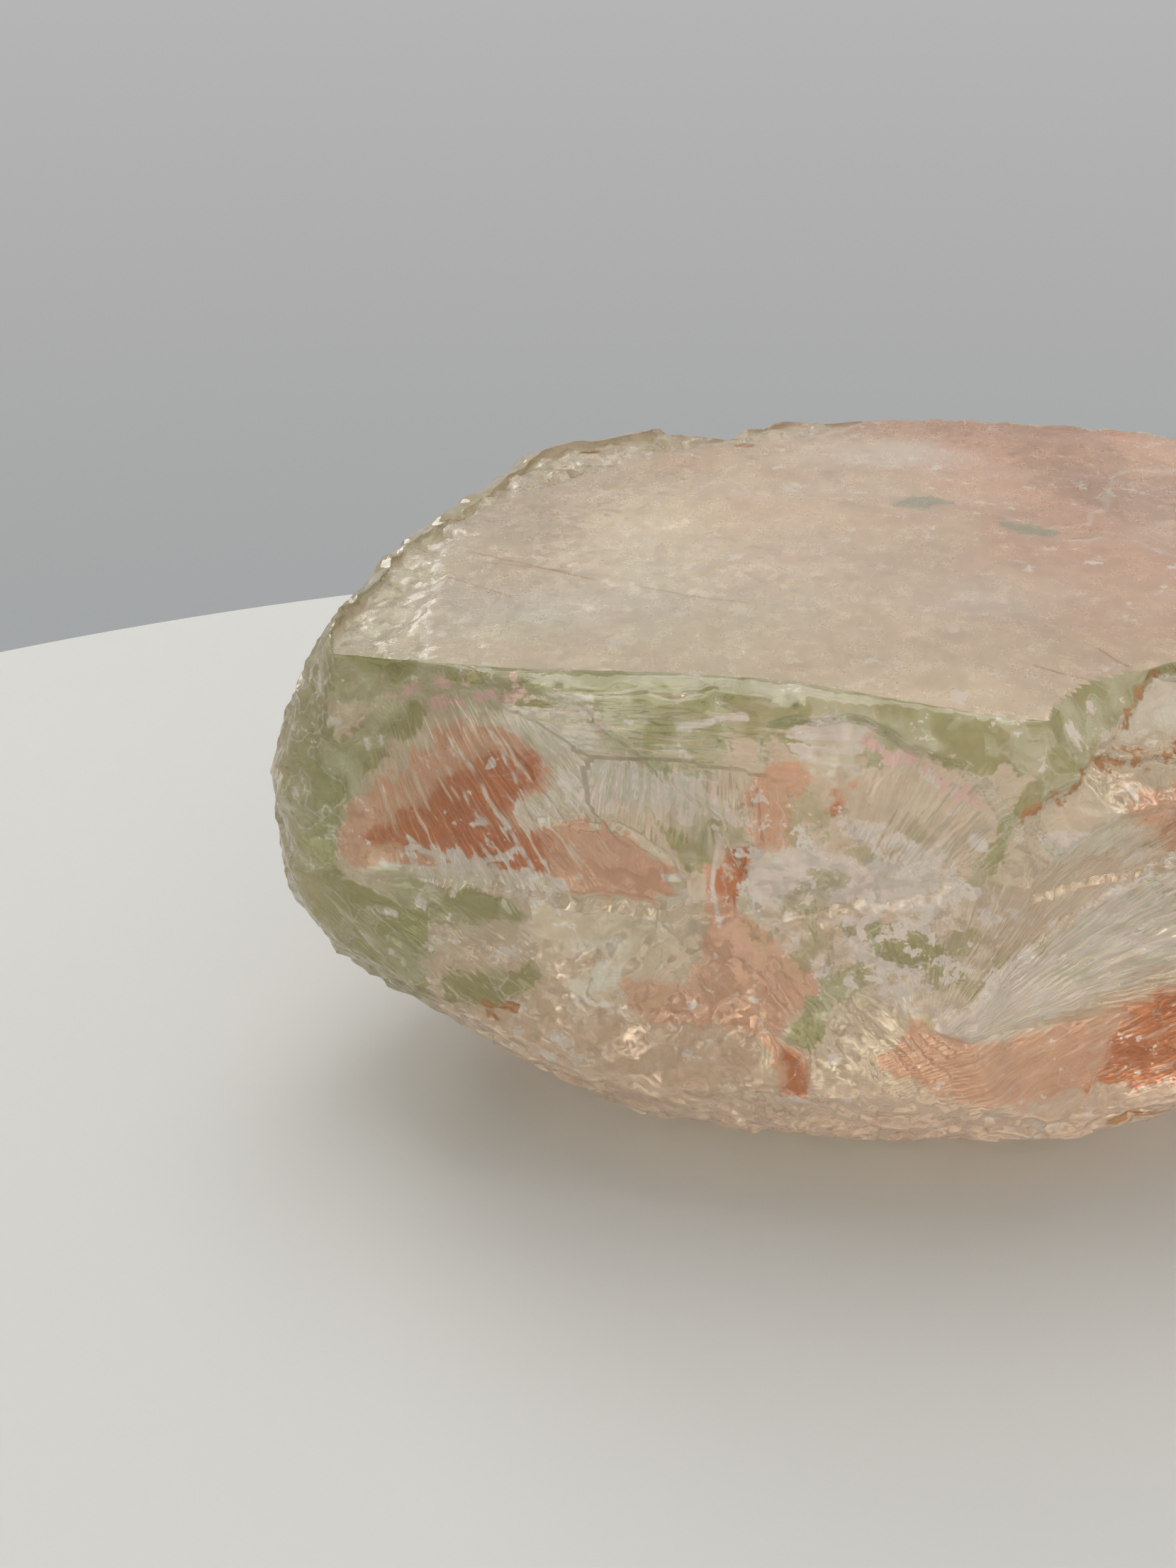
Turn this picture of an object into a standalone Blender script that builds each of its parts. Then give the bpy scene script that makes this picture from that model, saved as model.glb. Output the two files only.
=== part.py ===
"""Rough beryl: one natural two-coloured crystal fragment at its real size.

Metres, +Z up, +X along the stone's long way, the side that faces a viewer
towards -Y. The origin lies on the ground under the middle of the stone's box.
The stone stands on one small flat spot; its flat etched crystal face is on top.

The body is a ball whose rings are moved onto the stone's sections: a nearly
flat top face, flanks that bulge and then draw in underneath, and the spot it
rests on. Broken shell-shaped hollows and flat crystal faces are cut from it.
"""
import math

import bmesh
import bpy
import numpy as np

MM = 0.001

NAME = "rough_beryl"

# rings and spokes of the ball, and how many rings lie in each region
SPOKES = 92
TOP_RINGS = 9
FLANK_RINGS = 26
SPOT_RINGS = 3

# the upright axis that the sections turn about, in mm
AXIS_X = -1.5
AXIS_Y = 0.0

# where the middle of the stone's box lies in the numbers below, in mm
BOX_X = 0.2
BOX_Y = 2.1

# the middle that flat faces are measured from, and that lumps grow away from
MIDDLE = (-1.5, 0.0, 15.0)

# top face: height above ground at the front edge, its rise to the back, its crown
TOP_HEIGHT = 28.0
TOP_FRONT = -17.0
TOP_SLOPE = 0.12
TOP_CROWN = 0.0009
CROWN_X = 1.5

# corners of the top face seen from above, in mm, going round from the front left
TOP_CORNERS = (
    (-26.6, -11.9),
    (-22.2, -13.2),
    (-17.8, -14.2),
    (-11.1, -14.9),
    (-5.4, -15.9),
    (-0.7, -17.9),
    (3.7, -19.5),
    (8.5, -20.1),
    (15.0, -19.6),
    (21.5, -16.0),
    (26.2, -8.5),
    (27.5, 0.5),
    (25.5, 8.5),
    (21.5, 13.5),
    (17.5, 15.4),
    (10.7, 16.0),
    (3.9, 17.0),
    (-1.1, 18.0),
    (-5.4, 17.4),
    (-10.5, 15.6),
    (-15.1, 13.8),
    (-18.5, 12.4),
    (-19.3, 8.8),
    (-20.6, 5.6),
    (-22.4, 3.0),
    (-23.6, 0.8),
    (-24.7, -1.8),
    (-25.2, -4.8),
    (-26.5, -7.0),
    (-26.9, -9.3),
)

# flank sections: compass degrees (0 is +X, 90 is +Y), widest reach, its height,
# reach of the resting spot, fullness above and below the widest place
FLANKS = (
    (0, 33.5, 17.0, 8.0, 1.0, 1.0),
    (30, 33.0, 18.0, 8.0, 1.0, 1.0),
    (60, 28.5, 20.0, 7.0, 1.0, 1.0),
    (90, 25.0, 21.0, 6.0, 1.0, 1.0),
    (120, 26.0, 19.5, 6.5, 1.0, 1.0),
    (150, 24.0, 16.5, 7.5, 1.05, 1.0),
    (180, 28.5, 11.5, 9.0, 1.0, 0.97),
    (198, 30.9, 15.5, 9.5, 1.3, 1.25),
    (210, 26.6, 14.5, 8.5, 1.0, 1.12),
    (225, 24.0, 17.0, 7.5, 1.0, 1.0),
    (250, 20.5, 17.0, 7.0, 1.0, 0.9),
    (270, 20.0, 17.5, 6.5, 1.0, 0.86),
    (285, 22.0, 18.0, 6.5, 1.0, 0.94),
    (300, 24.0, 16.5, 7.0, 1.0, 0.95),
    (320, 28.5, 17.0, 8.0, 1.1, 0.87),
    (340, 32.5, 16.5, 9.0, 1.0, 0.88),
)

# broken shell-shaped hollows: name, middle in mm, its three half widths in mm,
# and how it is turned, in degrees about X, Y and Z
HOLLOWS = (
    ("front_right_bowl", (15.6, -25.8, 13.6), (18.6, 10.8, 14.0), (0.0, -32.0, 8.0)),
    ("front_right_lip", (14.8, -23.8, 32.4), (11.8, 11.4, 10.6), (0.0, 0.0, 0.0)),
    ("front_left_shell", (-18.9, -21.4, 18.0), (20.0, 7.0, 13.0), (0.0, -14.0, -18.0)),
    ("left_low_shell", (-26.0, -9.0, 0.0), (11.0, 9.0, 9.0), (30.0, 0.0, -70.0)),
    ("back_left_ledge", (-21.5, 11.5, 35.0), (6.0, 4.5, 5.2), (0.0, 0.0, 20.0)),
    ("back_edge_chip", (-8.0, 19.5, 35.5), (7.0, 6.0, 5.5), (0.0, 0.0, 0.0)),
    ("back_edge_nick", (4.5, 20.7, 36.2), (5.0, 5.0, 5.0), (0.0, 0.0, 0.0)),
    ("right_end_bowl", (36.4, 3.3, 30.4), (17.0, 13.0, 14.0), (-22.0, 0.0, 95.0)),
    ("right_low_bowl", (27.0, -10.4, 0.9), (13.0, 10.0, 12.0), (25.0, 0.0, 70.0)),
    ("back_right_bowl", (23.2, 29.4, 18.4), (18.0, 12.0, 14.0), (-5.0, 20.0, 140.0)),
    ("back_low_shell", (-10.0, 23.4, 0.6), (15.0, 10.0, 10.0), (30.0, 0.0, 200.0)),
    ("left_back_shell", (-29.1, 14.7, 12.3), (13.0, 10.0, 11.0), (5.0, 10.0, 242.0)),
)

# flat faces: name, compass degrees and rise in degrees that each looks towards,
# and its distance from the middle in mm
FLATS = (
    ("front_left_face", 252.0, -4.0, 19.4),
    ("left_end_face", 196.0, -4.0, 29.6),
    ("back_upper_face", 88.0, 36.8, 24.0),
    ("back_lower_face", 88.0, -23.2, 21.0),
    ("right_end_face", 352.0, -10.0, 30.6),
    ("left_back_face", 146.0, -8.0, 23.6),
)

# smaller broken flats: rows of rise in degrees, how many round the stone and the
# compass degrees between which the row is left out, then how deep they cut in mm
FACET_ROWS = (
    (17.0, 13, 160.0, 345.0),
    (-8.0, 13, 400.0, 401.0),
    (-33.0, 13, 400.0, 401.0),
    (-58.0, 9, 400.0, 401.0),
)
FACET_SHALLOW = 0.5
FACET_DEEP = 1.1
FACET_STRAY = 6.0
FACET_SEED = 21

# gentle lumps all over: longest and shortest wave and height in mm
LUMP_WAVES = 14
LUMP_LONGEST = 17.0
LUMP_SHORTEST = 6.0
LUMP_FLANK = 0.30
LUMP_TOP = 0.10
LUMP_SEED = 5

# pale greenish pink, clear and glassy
COLOUR = (0.80, 0.62, 0.50, 1.0)
ROUGHNESS = 0.12
TRANSMISSION = 0.85
REFRACTION = 1.58


def clear_scene():
    """Remove every object that the scene starts with."""
    for item in list(bpy.data.objects):
        bpy.data.objects.remove(item, do_unlink=True)


def new_collection(name):
    """A collection of its own in the scene."""
    group = bpy.data.collections.new(name)
    bpy.context.scene.collection.children.link(group)
    return group


def beryl_material():
    """The stone's clear, slightly coloured crystal."""
    material = bpy.data.materials.new("beryl_crystal")
    material.use_nodes = True
    shader = material.node_tree.nodes["Principled BSDF"]
    shader.inputs["Base Color"].default_value = COLOUR
    shader.inputs["Roughness"].default_value = ROUGHNESS
    shader.inputs["Metallic"].default_value = 0.0
    shader.inputs["IOR"].default_value = REFRACTION
    shader.inputs["Transmission Weight"].default_value = TRANSMISSION
    material.diffuse_color = COLOUR
    return material


def round_the_stone(degrees, values, angle):
    """Smooth closed curve through the values set at the compass degrees."""
    keys = np.radians(np.asarray(degrees, dtype=float))
    values = np.asarray(values, dtype=float)
    turn = 2.0 * math.pi
    keys = np.concatenate([keys - turn, keys, keys + turn])
    values = np.concatenate([values, values, values])
    steps = np.diff(values) / np.diff(keys)
    slopes = np.zeros_like(values)
    product = steps[:-1] * steps[1:]
    total = steps[:-1] + steps[1:]
    safe = np.where(total == 0.0, 1.0, total)
    slopes[1:-1] = np.where(product > 0.0, 2.0 * product / safe, 0.0)
    angle = np.mod(angle, turn)
    left = np.clip(np.searchsorted(keys, angle, side="right") - 1, 0, len(keys) - 2)
    width = keys[left + 1] - keys[left]
    part = (angle - keys[left]) / width
    near = (2.0 * part**3 - 3.0 * part**2 + 1.0) * values[left]
    near = near + (part**3 - 2.0 * part**2 + part) * width * slopes[left]
    far = (3.0 * part**2 - 2.0 * part**3) * values[left + 1]
    far = far + (part**3 - part**2) * width * slopes[left + 1]
    return near + far


def top_reach(angle):
    """Distance from the axis to the top face's edge, straight between corners."""
    corners = np.asarray(TOP_CORNERS) - (AXIS_X, AXIS_Y)
    turn = 2.0 * math.pi
    bearing = np.mod(np.arctan2(corners[:, 1], corners[:, 0]), turn)
    order = np.argsort(bearing)
    bearing = bearing[order]
    corners = corners[order]
    bearing = np.concatenate([bearing[-1:] - turn, bearing, bearing[:1] + turn])
    corners = np.concatenate([corners[-1:], corners, corners[:1]])
    angle = np.mod(angle, turn)
    left = np.clip(np.searchsorted(bearing, angle, side="right") - 1, 0, len(bearing) - 2)
    start = corners[left]
    run = corners[left + 1] - start
    cross = start[:, 0] * run[:, 1] - start[:, 1] * run[:, 0]
    return cross / (np.cos(angle) * run[:, 1] - np.sin(angle) * run[:, 0])


def top_height(x, y):
    """Height of the top face: a tilted plane, a little lower at both ends."""
    rise = TOP_SLOPE * (y - TOP_FRONT)
    return TOP_HEIGHT + rise - TOP_CROWN * (x - CROWN_X) ** 2


def lumps(points):
    """Seeded sum of sine waves, about -1 to 1, for the uneven surface."""
    maker = np.random.RandomState(LUMP_SEED)
    total = np.zeros(len(points))
    for _ in range(LUMP_WAVES):
        way = maker.normal(size=3)
        way = way / np.linalg.norm(way)
        length = maker.uniform(LUMP_SHORTEST, LUMP_LONGEST)
        start = maker.uniform(0.0, 2.0 * math.pi)
        total += np.sin(points @ way * (2.0 * math.pi / length) + start)
    return total / math.sqrt(LUMP_WAVES)


def stone_surface(angle, down):
    """Points of the uncut stone in mm.

    down runs from 0 to 1 over the top face, from 1 to 2 down the flank and
    from 2 to 3 over the resting spot to the axis.
    """
    across = np.cos(angle)
    along = np.sin(angle)
    keys = [row[0] for row in FLANKS]
    table = np.asarray(FLANKS)
    widest, level, foot, above, below = (
        round_the_stone(keys, table[:, column], angle) for column in range(1, 6)
    )
    edge = top_reach(angle)
    edge_height = top_height(AXIS_X + edge * across, AXIS_Y + edge * along)
    reach = edge * np.clip(down, 0.0, 1.0)
    height = top_height(AXIS_X + reach * across, AXIS_Y + reach * along)
    turn = np.clip(down - 1.0, 0.0, 1.0) * math.pi
    rise = np.abs(np.sin(turn))
    fall = np.abs(np.cos(turn))
    on_flank = down > 1.0
    upper = on_flank & (turn < math.pi / 2.0)
    lower = on_flank & ~upper
    reach = np.where(upper, edge + (widest - edge) * rise**above, reach)
    height = np.where(upper, level + (edge_height - level) * fall**above, height)
    reach = np.where(lower, foot + (widest - foot) * rise**below, reach)
    height = np.where(lower, level * (1.0 - fall**below), height)
    on_spot = down >= 2.0
    reach = np.where(on_spot, foot * (3.0 - down), reach)
    height = np.where(on_spot, 0.0, height)
    points = np.stack([AXIS_X + reach * across, AXIS_Y + reach * along, height], axis=-1)
    bump = lumps(points)
    outward = points - np.asarray(MIDDLE)
    outward = outward / np.linalg.norm(outward, axis=1, keepdims=True)
    fade = np.clip(rise * 2.5, 0.0, 1.0)
    on_top = down < 1.0
    lift = np.where(on_flank & ~on_spot, LUMP_FLANK * fade, 0.0)
    points = points + outward * (lift * bump)[:, None]
    swell = LUMP_TOP * np.clip((1.0 - down) * 6.0, 0.0, 1.0)
    points[:, 2] += np.where(on_top, swell * bump, 0.0)
    return points


def make_stone(group, material):
    """The uncut stone: a ball whose vertices are moved onto the sections."""
    rings = TOP_RINGS + FLANK_RINGS + SPOT_RINGS
    work = bmesh.new()
    bmesh.ops.create_uvsphere(work, u_segments=SPOKES, v_segments=rings, radius=1.0)
    ball = np.array([vertex.co[:] for vertex in work.verts])
    angle = np.arctan2(ball[:, 1], ball[:, 0])
    polar = np.arccos(np.clip(ball[:, 2], -1.0, 1.0))
    ring = np.rint(polar / math.pi * rings)
    stops = [0.0, TOP_RINGS, TOP_RINGS + FLANK_RINGS, rings]
    down = np.interp(ring, stops, [0.0, 1.0, 2.0, 3.0])
    points = (stone_surface(angle, down) - (BOX_X, BOX_Y, 0.0)) * MM
    for vertex, point in zip(work.verts, points):
        vertex.co = point
    bmesh.ops.recalc_face_normals(work, faces=work.faces)
    trim_flats(work)
    mesh = bpy.data.meshes.new(NAME)
    work.to_mesh(mesh)
    work.free()
    mesh.materials.append(material)
    stone = bpy.data.objects.new(NAME, mesh)
    group.objects.link(stone)
    return stone


def facing_way(compass, rise):
    """Unit arrow towards a compass direction and a rise above level."""
    turn = math.radians(compass)
    lift = math.radians(rise)
    return np.array([
        math.cos(turn) * math.cos(lift),
        math.sin(turn) * math.cos(lift),
        math.sin(lift),
    ])


def facet_list():
    """Arrow and depth of each smaller broken flat, strewn by a fixed seed."""
    maker = np.random.RandomState(FACET_SEED)
    found = []
    for rise, count, skip_from, skip_to in FACET_ROWS:
        for index in range(count):
            compass = 360.0 * (index + 0.5 * (count % 2)) / count
            compass = compass + maker.uniform(-FACET_STRAY, FACET_STRAY)
            tilt = rise + maker.uniform(-FACET_STRAY, FACET_STRAY)
            depth = maker.uniform(FACET_SHALLOW, FACET_DEEP)
            if skip_from < compass % 360.0 < skip_to:
                continue
            found.append((facing_way(compass, tilt), depth))
    return found


def slice_flat(work, way, distance):
    """Trim the stone to a plane and close the cut."""
    place = (np.asarray(MIDDLE) + way * distance - (BOX_X, BOX_Y, 0.0)) * MM
    everything = work.verts[:] + work.edges[:] + work.faces[:]
    cut = bmesh.ops.bisect_plane(
        work,
        geom=everything,
        dist=0.03 * MM,
        plane_co=place,
        plane_no=way,
        clear_outer=True,
    )
    rim = [item for item in cut["geom_cut"] if isinstance(item, bmesh.types.BMEdge)]
    bmesh.ops.triangle_fill(work, use_beauty=True, edges=rim)


def trim_flats(work):
    """Cut the crystal faces and the smaller broken flats."""
    middle = np.asarray(MIDDLE) - (BOX_X, BOX_Y, 0.0)
    for way, depth in facet_list():
        points = np.array([vertex.co[:] for vertex in work.verts]) / MM
        slice_flat(work, way, float(((points - middle) @ way).max()) - depth)
    for _, compass, rise, distance in FLATS:
        slice_flat(work, facing_way(compass, rise), distance)
    bmesh.ops.remove_doubles(work, verts=work.verts, dist=0.05 * MM)
    bmesh.ops.triangulate(work, faces=work.faces)
    bmesh.ops.dissolve_degenerate(work, dist=0.03 * MM, edges=work.edges)
    bmesh.ops.triangulate(work, faces=work.faces)
    bmesh.ops.recalc_face_normals(work, faces=work.faces)


def cut_hollow(name, middle, half_widths, turns, group, stone):
    """A shell-shaped break: the part of a stretched ball inside the stone."""
    work = bmesh.new()
    bmesh.ops.create_icosphere(work, subdivisions=4, radius=1.0)
    widths = np.asarray(half_widths) * MM
    for vertex in work.verts:
        vertex.co = [part * width for part, width in zip(vertex.co, widths)]
    mesh = bpy.data.meshes.new("cut_" + name)
    work.to_mesh(mesh)
    work.free()
    cutter = bpy.data.objects.new("cut_" + name, mesh)
    cutter.location = (np.asarray(middle) - (BOX_X, BOX_Y, 0.0)) * MM
    cutter.rotation_euler = [math.radians(value) for value in turns]
    cutter.display_type = "WIRE"
    cutter.hide_render = True
    group.objects.link(cutter)
    cut = stone.modifiers.new(name, "BOOLEAN")
    cut.operation = "DIFFERENCE"
    cut.solver = "EXACT"
    cut.object = cutter


def main():
    clear_scene()
    parts = new_collection("rough_beryl_stone")
    cutters = new_collection("cutters")
    stone = make_stone(parts, beryl_material())
    for name, middle, half_widths, turns in HOLLOWS:
        cut_hollow(name, middle, half_widths, turns, cutters, stone)
    stone.data.shade_smooth()
    stone.data.set_sharp_from_angle(angle=math.radians(28.0))


main()
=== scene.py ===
import math

import bpy
import numpy as np
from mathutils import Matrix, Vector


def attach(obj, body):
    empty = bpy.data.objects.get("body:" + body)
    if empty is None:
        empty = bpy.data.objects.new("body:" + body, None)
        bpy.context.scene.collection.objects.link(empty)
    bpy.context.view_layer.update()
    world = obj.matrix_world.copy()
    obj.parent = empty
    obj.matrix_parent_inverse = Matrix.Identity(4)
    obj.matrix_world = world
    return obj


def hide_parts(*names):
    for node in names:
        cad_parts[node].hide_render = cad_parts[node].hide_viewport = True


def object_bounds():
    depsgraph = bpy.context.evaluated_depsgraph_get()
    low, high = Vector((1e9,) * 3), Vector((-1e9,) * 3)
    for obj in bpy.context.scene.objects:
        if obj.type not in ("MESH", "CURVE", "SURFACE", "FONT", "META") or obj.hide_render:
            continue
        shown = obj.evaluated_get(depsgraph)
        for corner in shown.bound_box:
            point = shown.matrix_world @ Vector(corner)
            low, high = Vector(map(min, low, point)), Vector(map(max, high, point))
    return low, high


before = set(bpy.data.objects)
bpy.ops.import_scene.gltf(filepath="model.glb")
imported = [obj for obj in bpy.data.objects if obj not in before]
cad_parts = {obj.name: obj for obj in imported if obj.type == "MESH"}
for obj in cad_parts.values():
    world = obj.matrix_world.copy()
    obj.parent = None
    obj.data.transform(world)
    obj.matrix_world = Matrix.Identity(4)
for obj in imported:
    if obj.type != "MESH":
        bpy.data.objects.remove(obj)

bl_info = {
    "name": "Rough Beryl",
    "version": (1, 0, 0),
    "blender": (4, 5, 0),
    "location": "3D View > Sidebar > Beryl",
    "description": "Builds a rough two-coloured beryl crystal and the pale stage it stands on",
    "category": "Add Mesh",
}

CAD_NODE = "rough_beryl"
CAD_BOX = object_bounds()
MM = 0.001

# the stone's own measures, in mm, as the solid has them
BOX_X = 0.2
BOX_Y = 2.1
AXIS_X = -1.5
AXIS_Y = 0.0
MIDDLE = np.array([-1.5, 0.0, 15.0])
TOP_HEIGHT = 28.0
TOP_FRONT = -17.0
TOP_SLOPE = 0.12
TOP_CROWN = 0.0009
CROWN_X = 1.5
# the spokes of the mesh crowd towards this compass direction, by this much
FRONT_COMPASS = 262.0
FRONT_CROWDING = 0.38
# edges that bend by more than this many degrees are shaded sharp
STONE_CREASE = 40.0
TABLE_CREASE = 50.0
# the table lies this far below the stone, in metres, so their faces never share a plane
TABLE_GAP = 0.0001
# the table, in metres: its middle, first ring, rounded edge and thickness, and its spokes
TABLE_MIDDLE = (0.019, -0.059)
TABLE_HUB = 0.01
TABLE_EDGE = 0.004
TABLE_DEPTH = 0.012
TABLE_SPOKES = 256
# the camera: place in metres, tilt up from straight down in degrees, lens in mm
CAMERA_PLACE = (-0.0149, -0.1002, 0.0596)
CAMERA_TILT = 66.0
CAMERA_LENS = 45.0
# the clear stone: share of light that enters, how much it bends, how it dims inside
CLEARNESS = 0.75
IOR = 1.58
HAZE_COLOUR = (0.96, 0.90, 0.80, 1.0)
HAZE_DENSITY = 5.0
# shaded relief of the finest chips: height in metres and strength
BUMP_HEIGHT = 0.00016
BUMP_STRENGTH = 0.85
# lights: name, panel setting for the power, place, height aimed at, side in metres and colour
LIGHTS = (
    ("softbox_above", "softbox_power", (-0.06, 0.10, 0.62), 0.0, 0.50, (1.0, 0.985, 0.955)),
    ("window_behind", "window_power", (-0.42, 0.62, 0.50), 0.015, 0.36, (1.0, 0.99, 0.97)),
    ("fill_in_front", "fill_power", (0.16, -0.75, 0.42), 0.015, 0.50, (1.0, 0.985, 0.96)),
)
# greys of the surroundings from low to high: place on the ramp and colour
GREYS = (
    (0.34, (0.370, 0.382, 0.384, 1.0)), (0.40, (0.404, 0.407, 0.407, 1.0)),
    (0.475, (0.462, 0.456, 0.456, 1.0)), (0.56, (0.560, 0.555, 0.550, 1.0)),
)
# an outline's depth is stored up to this many mm on either side of it
EDGE_REACH = 3.0
# cells along each side of the repeating tables of random values
GRAIN_CELLS = 32
CRUMB_CELLS = 16
# sine waves in the lumps of the uncut stone
LUMP_WAVES = 14

# corners of the top face's outline, as (x, y) in mm
TOP_CORNERS = (
    (-26.6, -11.9), (-22.2, -13.2), (-17.8, -14.2), (-11.1, -14.9), (-5.4, -15.9),
    (-0.7, -17.9), (3.7, -19.5), (8.5, -20.1), (15.0, -19.6), (21.5, -16.0),
    (26.2, -8.5), (27.5, 0.5), (25.5, 8.5), (21.5, 13.5), (17.5, 15.4),
    (10.7, 16.0), (3.9, 17.0), (-1.1, 18.0), (-5.4, 17.4), (-10.5, 15.6),
    (-15.1, 13.8), (-18.5, 12.4), (-19.3, 8.8), (-20.6, 5.6), (-22.4, 3.0),
    (-23.6, 0.8), (-24.7, -1.8), (-25.2, -4.8), (-26.5, -7.0), (-26.9, -9.3),
)

# compass degrees, widest reach, its height, reach of the resting spot, and the powers of
# the ovals above and below the widest place
FLANKS = (
    (0, 33.5, 17.0, 8.0, 1.0, 1.0),
    (30, 33.0, 18.0, 8.0, 1.0, 1.0),
    (60, 28.5, 20.0, 7.0, 1.0, 1.0),
    (90, 25.0, 21.0, 6.0, 1.0, 1.0),
    (120, 26.0, 19.5, 6.5, 1.0, 1.0),
    (150, 24.0, 16.5, 7.5, 1.05, 1.0),
    (180, 28.5, 11.5, 9.0, 1.0, 0.97),
    (198, 30.9, 15.5, 9.5, 1.3, 1.25),
    (210, 26.6, 14.5, 8.5, 1.0, 1.12),
    (225, 24.0, 17.0, 7.5, 1.0, 1.0),
    (250, 20.5, 17.0, 7.0, 1.0, 0.9),
    (270, 20.0, 17.5, 6.5, 1.0, 0.86),
    (285, 22.0, 18.0, 6.5, 1.0, 0.94),
    (300, 24.0, 16.5, 7.0, 1.0, 0.95),
    (320, 28.5, 17.0, 8.0, 1.1, 0.87),
    (340, 32.5, 16.5, 9.0, 1.0, 0.88),
)

# middle, half widths and turns of each shell-shaped hollow
HOLLOWS = (
    ((15.6, -25.8, 13.6), (18.6, 10.8, 14.0), (0.0, -32.0, 8.0)),
    ((14.8, -23.8, 32.4), (11.8, 11.4, 10.6), (0.0, 0.0, 0.0)),
    ((-18.9, -21.4, 18.0), (20.0, 7.0, 13.0), (0.0, -14.0, -18.0)),
    ((-26.0, -9.0, 0.0), (11.0, 9.0, 9.0), (30.0, 0.0, -70.0)),
    ((-21.5, 11.5, 35.0), (6.0, 4.5, 5.2), (0.0, 0.0, 20.0)),
    ((-8.0, 19.5, 35.5), (7.0, 6.0, 5.5), (0.0, 0.0, 0.0)),
    ((4.5, 20.7, 36.2), (5.0, 5.0, 5.0), (0.0, 0.0, 0.0)),
    ((36.4, 3.3, 30.4), (17.0, 13.0, 14.0), (-22.0, 0.0, 95.0)),
    ((27.0, -10.4, 0.9), (13.0, 10.0, 12.0), (25.0, 0.0, 70.0)),
    ((23.2, 29.4, 18.4), (18.0, 12.0, 14.0), (-5.0, 20.0, 140.0)),
    ((-10.0, 23.4, 0.6), (15.0, 10.0, 10.0), (30.0, 0.0, 200.0)),
    ((-29.1, 14.7, 12.3), (13.0, 10.0, 11.0), (5.0, 10.0, 242.0)),
)

# compass degrees, rise and distance from the middle of each flat face
FLATS = (
    (252.0, -4.0, 19.4),
    (196.0, -4.0, 29.6),
    (88.0, 36.8, 24.0),
    (88.0, -23.2, 21.0),
    (352.0, -10.0, 30.6),
    (146.0, -8.0, 23.6),
)

# rows of small flats: rise in degrees, how many round the stone, and the compass range
# left out, which lies past 360 degrees where none is left out
FACET_ROWS = (
    (17.0, 13, 160.0, 345.0),
    (-8.0, 13, 400.0, 401.0),
    (-33.0, 13, 400.0, 401.0),
    (-58.0, 9, 400.0, 401.0),
)

# outlines on the broken front, as (x, height) in mm: where the stone is salmon
SALMON_ZONES = (
    ((-28.3, 15.4), (-27.6, 18.1), (-26.9, 19.8), (-25.3, 21.7), (-22.7, 23.7), (-21.4, 25.2),
     (-20.0, 26.0), (-18.6, 26.1), (-17.7, 24.8), (-16.3, 22.7), (-17.7, 21.2), (-17.3, 20.4),
     (-13.5, 21.0), (-11.0, 19.2), (-10.8, 18.1), (-12.2, 17.1), (-17.1, 17.2), (-20.4, 17.8),
     (-24.9, 17.0), (-26.9, 16.2)),
    ((-9.5, 19.8), (-8.4, 19.4), (-8.4, 20.9), (-7.7, 21.4), (-7.5, 20.0), (-8.0, 18.0),
     (-6.3, 16.9), (-4.6, 15.0), (-4.5, 13.9), (-5.9, 11.5), (-7.4, 11.2), (-12.6, 11.0),
     (-13.6, 13.2), (-10.4, 13.6), (-9.4, 15.5)),
    ((-6.8, 11.6), (-4.6, 10.2), (-4.3, 7.6), (-5.2, 7.0), (-6.4, 9.2)),
    ((-7.8, 23.5), (-6.4, 24.9), (-5.0, 24.8), (-5.6, 23.4), (-6.2, 21.4), (-7.6, 21.1)),
    ((-4.5, 22.9), (-3.6, 24.4), (-2.6, 24.6), (-3.4, 23.2)),
    ((0.2, 12.4), (3.4, 11.2), (6.6, 10.5), (9.7, 11.0), (13.6, 12.2), (19.0, 13.0),
     (20.0, 7.0), (13.0, 7.2), (9.6, 7.0), (3.1, 7.4), (-1.3, 9.6)),
    ((8.7, 24.1), (13.0, 23.6), (18.0, 22.0), (17.0, 19.0), (12.4, 19.6), (10.3, 21.6)),
)
# where it is the deeper salmon
DEEP_ZONES = (
    ((-25.8, 18.6), (-22.6, 21.6), (-19.6, 24.4), (-17.4, 24.2), (-17.0, 22.6), (-18.9, 20.4),
     (-16.6, 20.0), (-16.2, 18.2), (-17.4, 17.2), (-20.6, 17.8)),
    ((-8.4, 20.9), (-7.7, 21.4), (-7.5, 20.0), (-8.1, 17.6), (-9.3, 18.6)),
    ((-4.4, 23.0), (-3.8, 24.0), (-3.4, 23.6), (-3.9, 22.8)),
    ((11.4, 11.0), (16.0, 12.4), (20.0, 11.0), (16.0, 7.2), (9.6, 7.1), (11.1, 9.7)),
    ((-5.4, 10.2), (-4.5, 8.8), (-4.4, 7.4), (-5.6, 8.0)),
)
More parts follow.
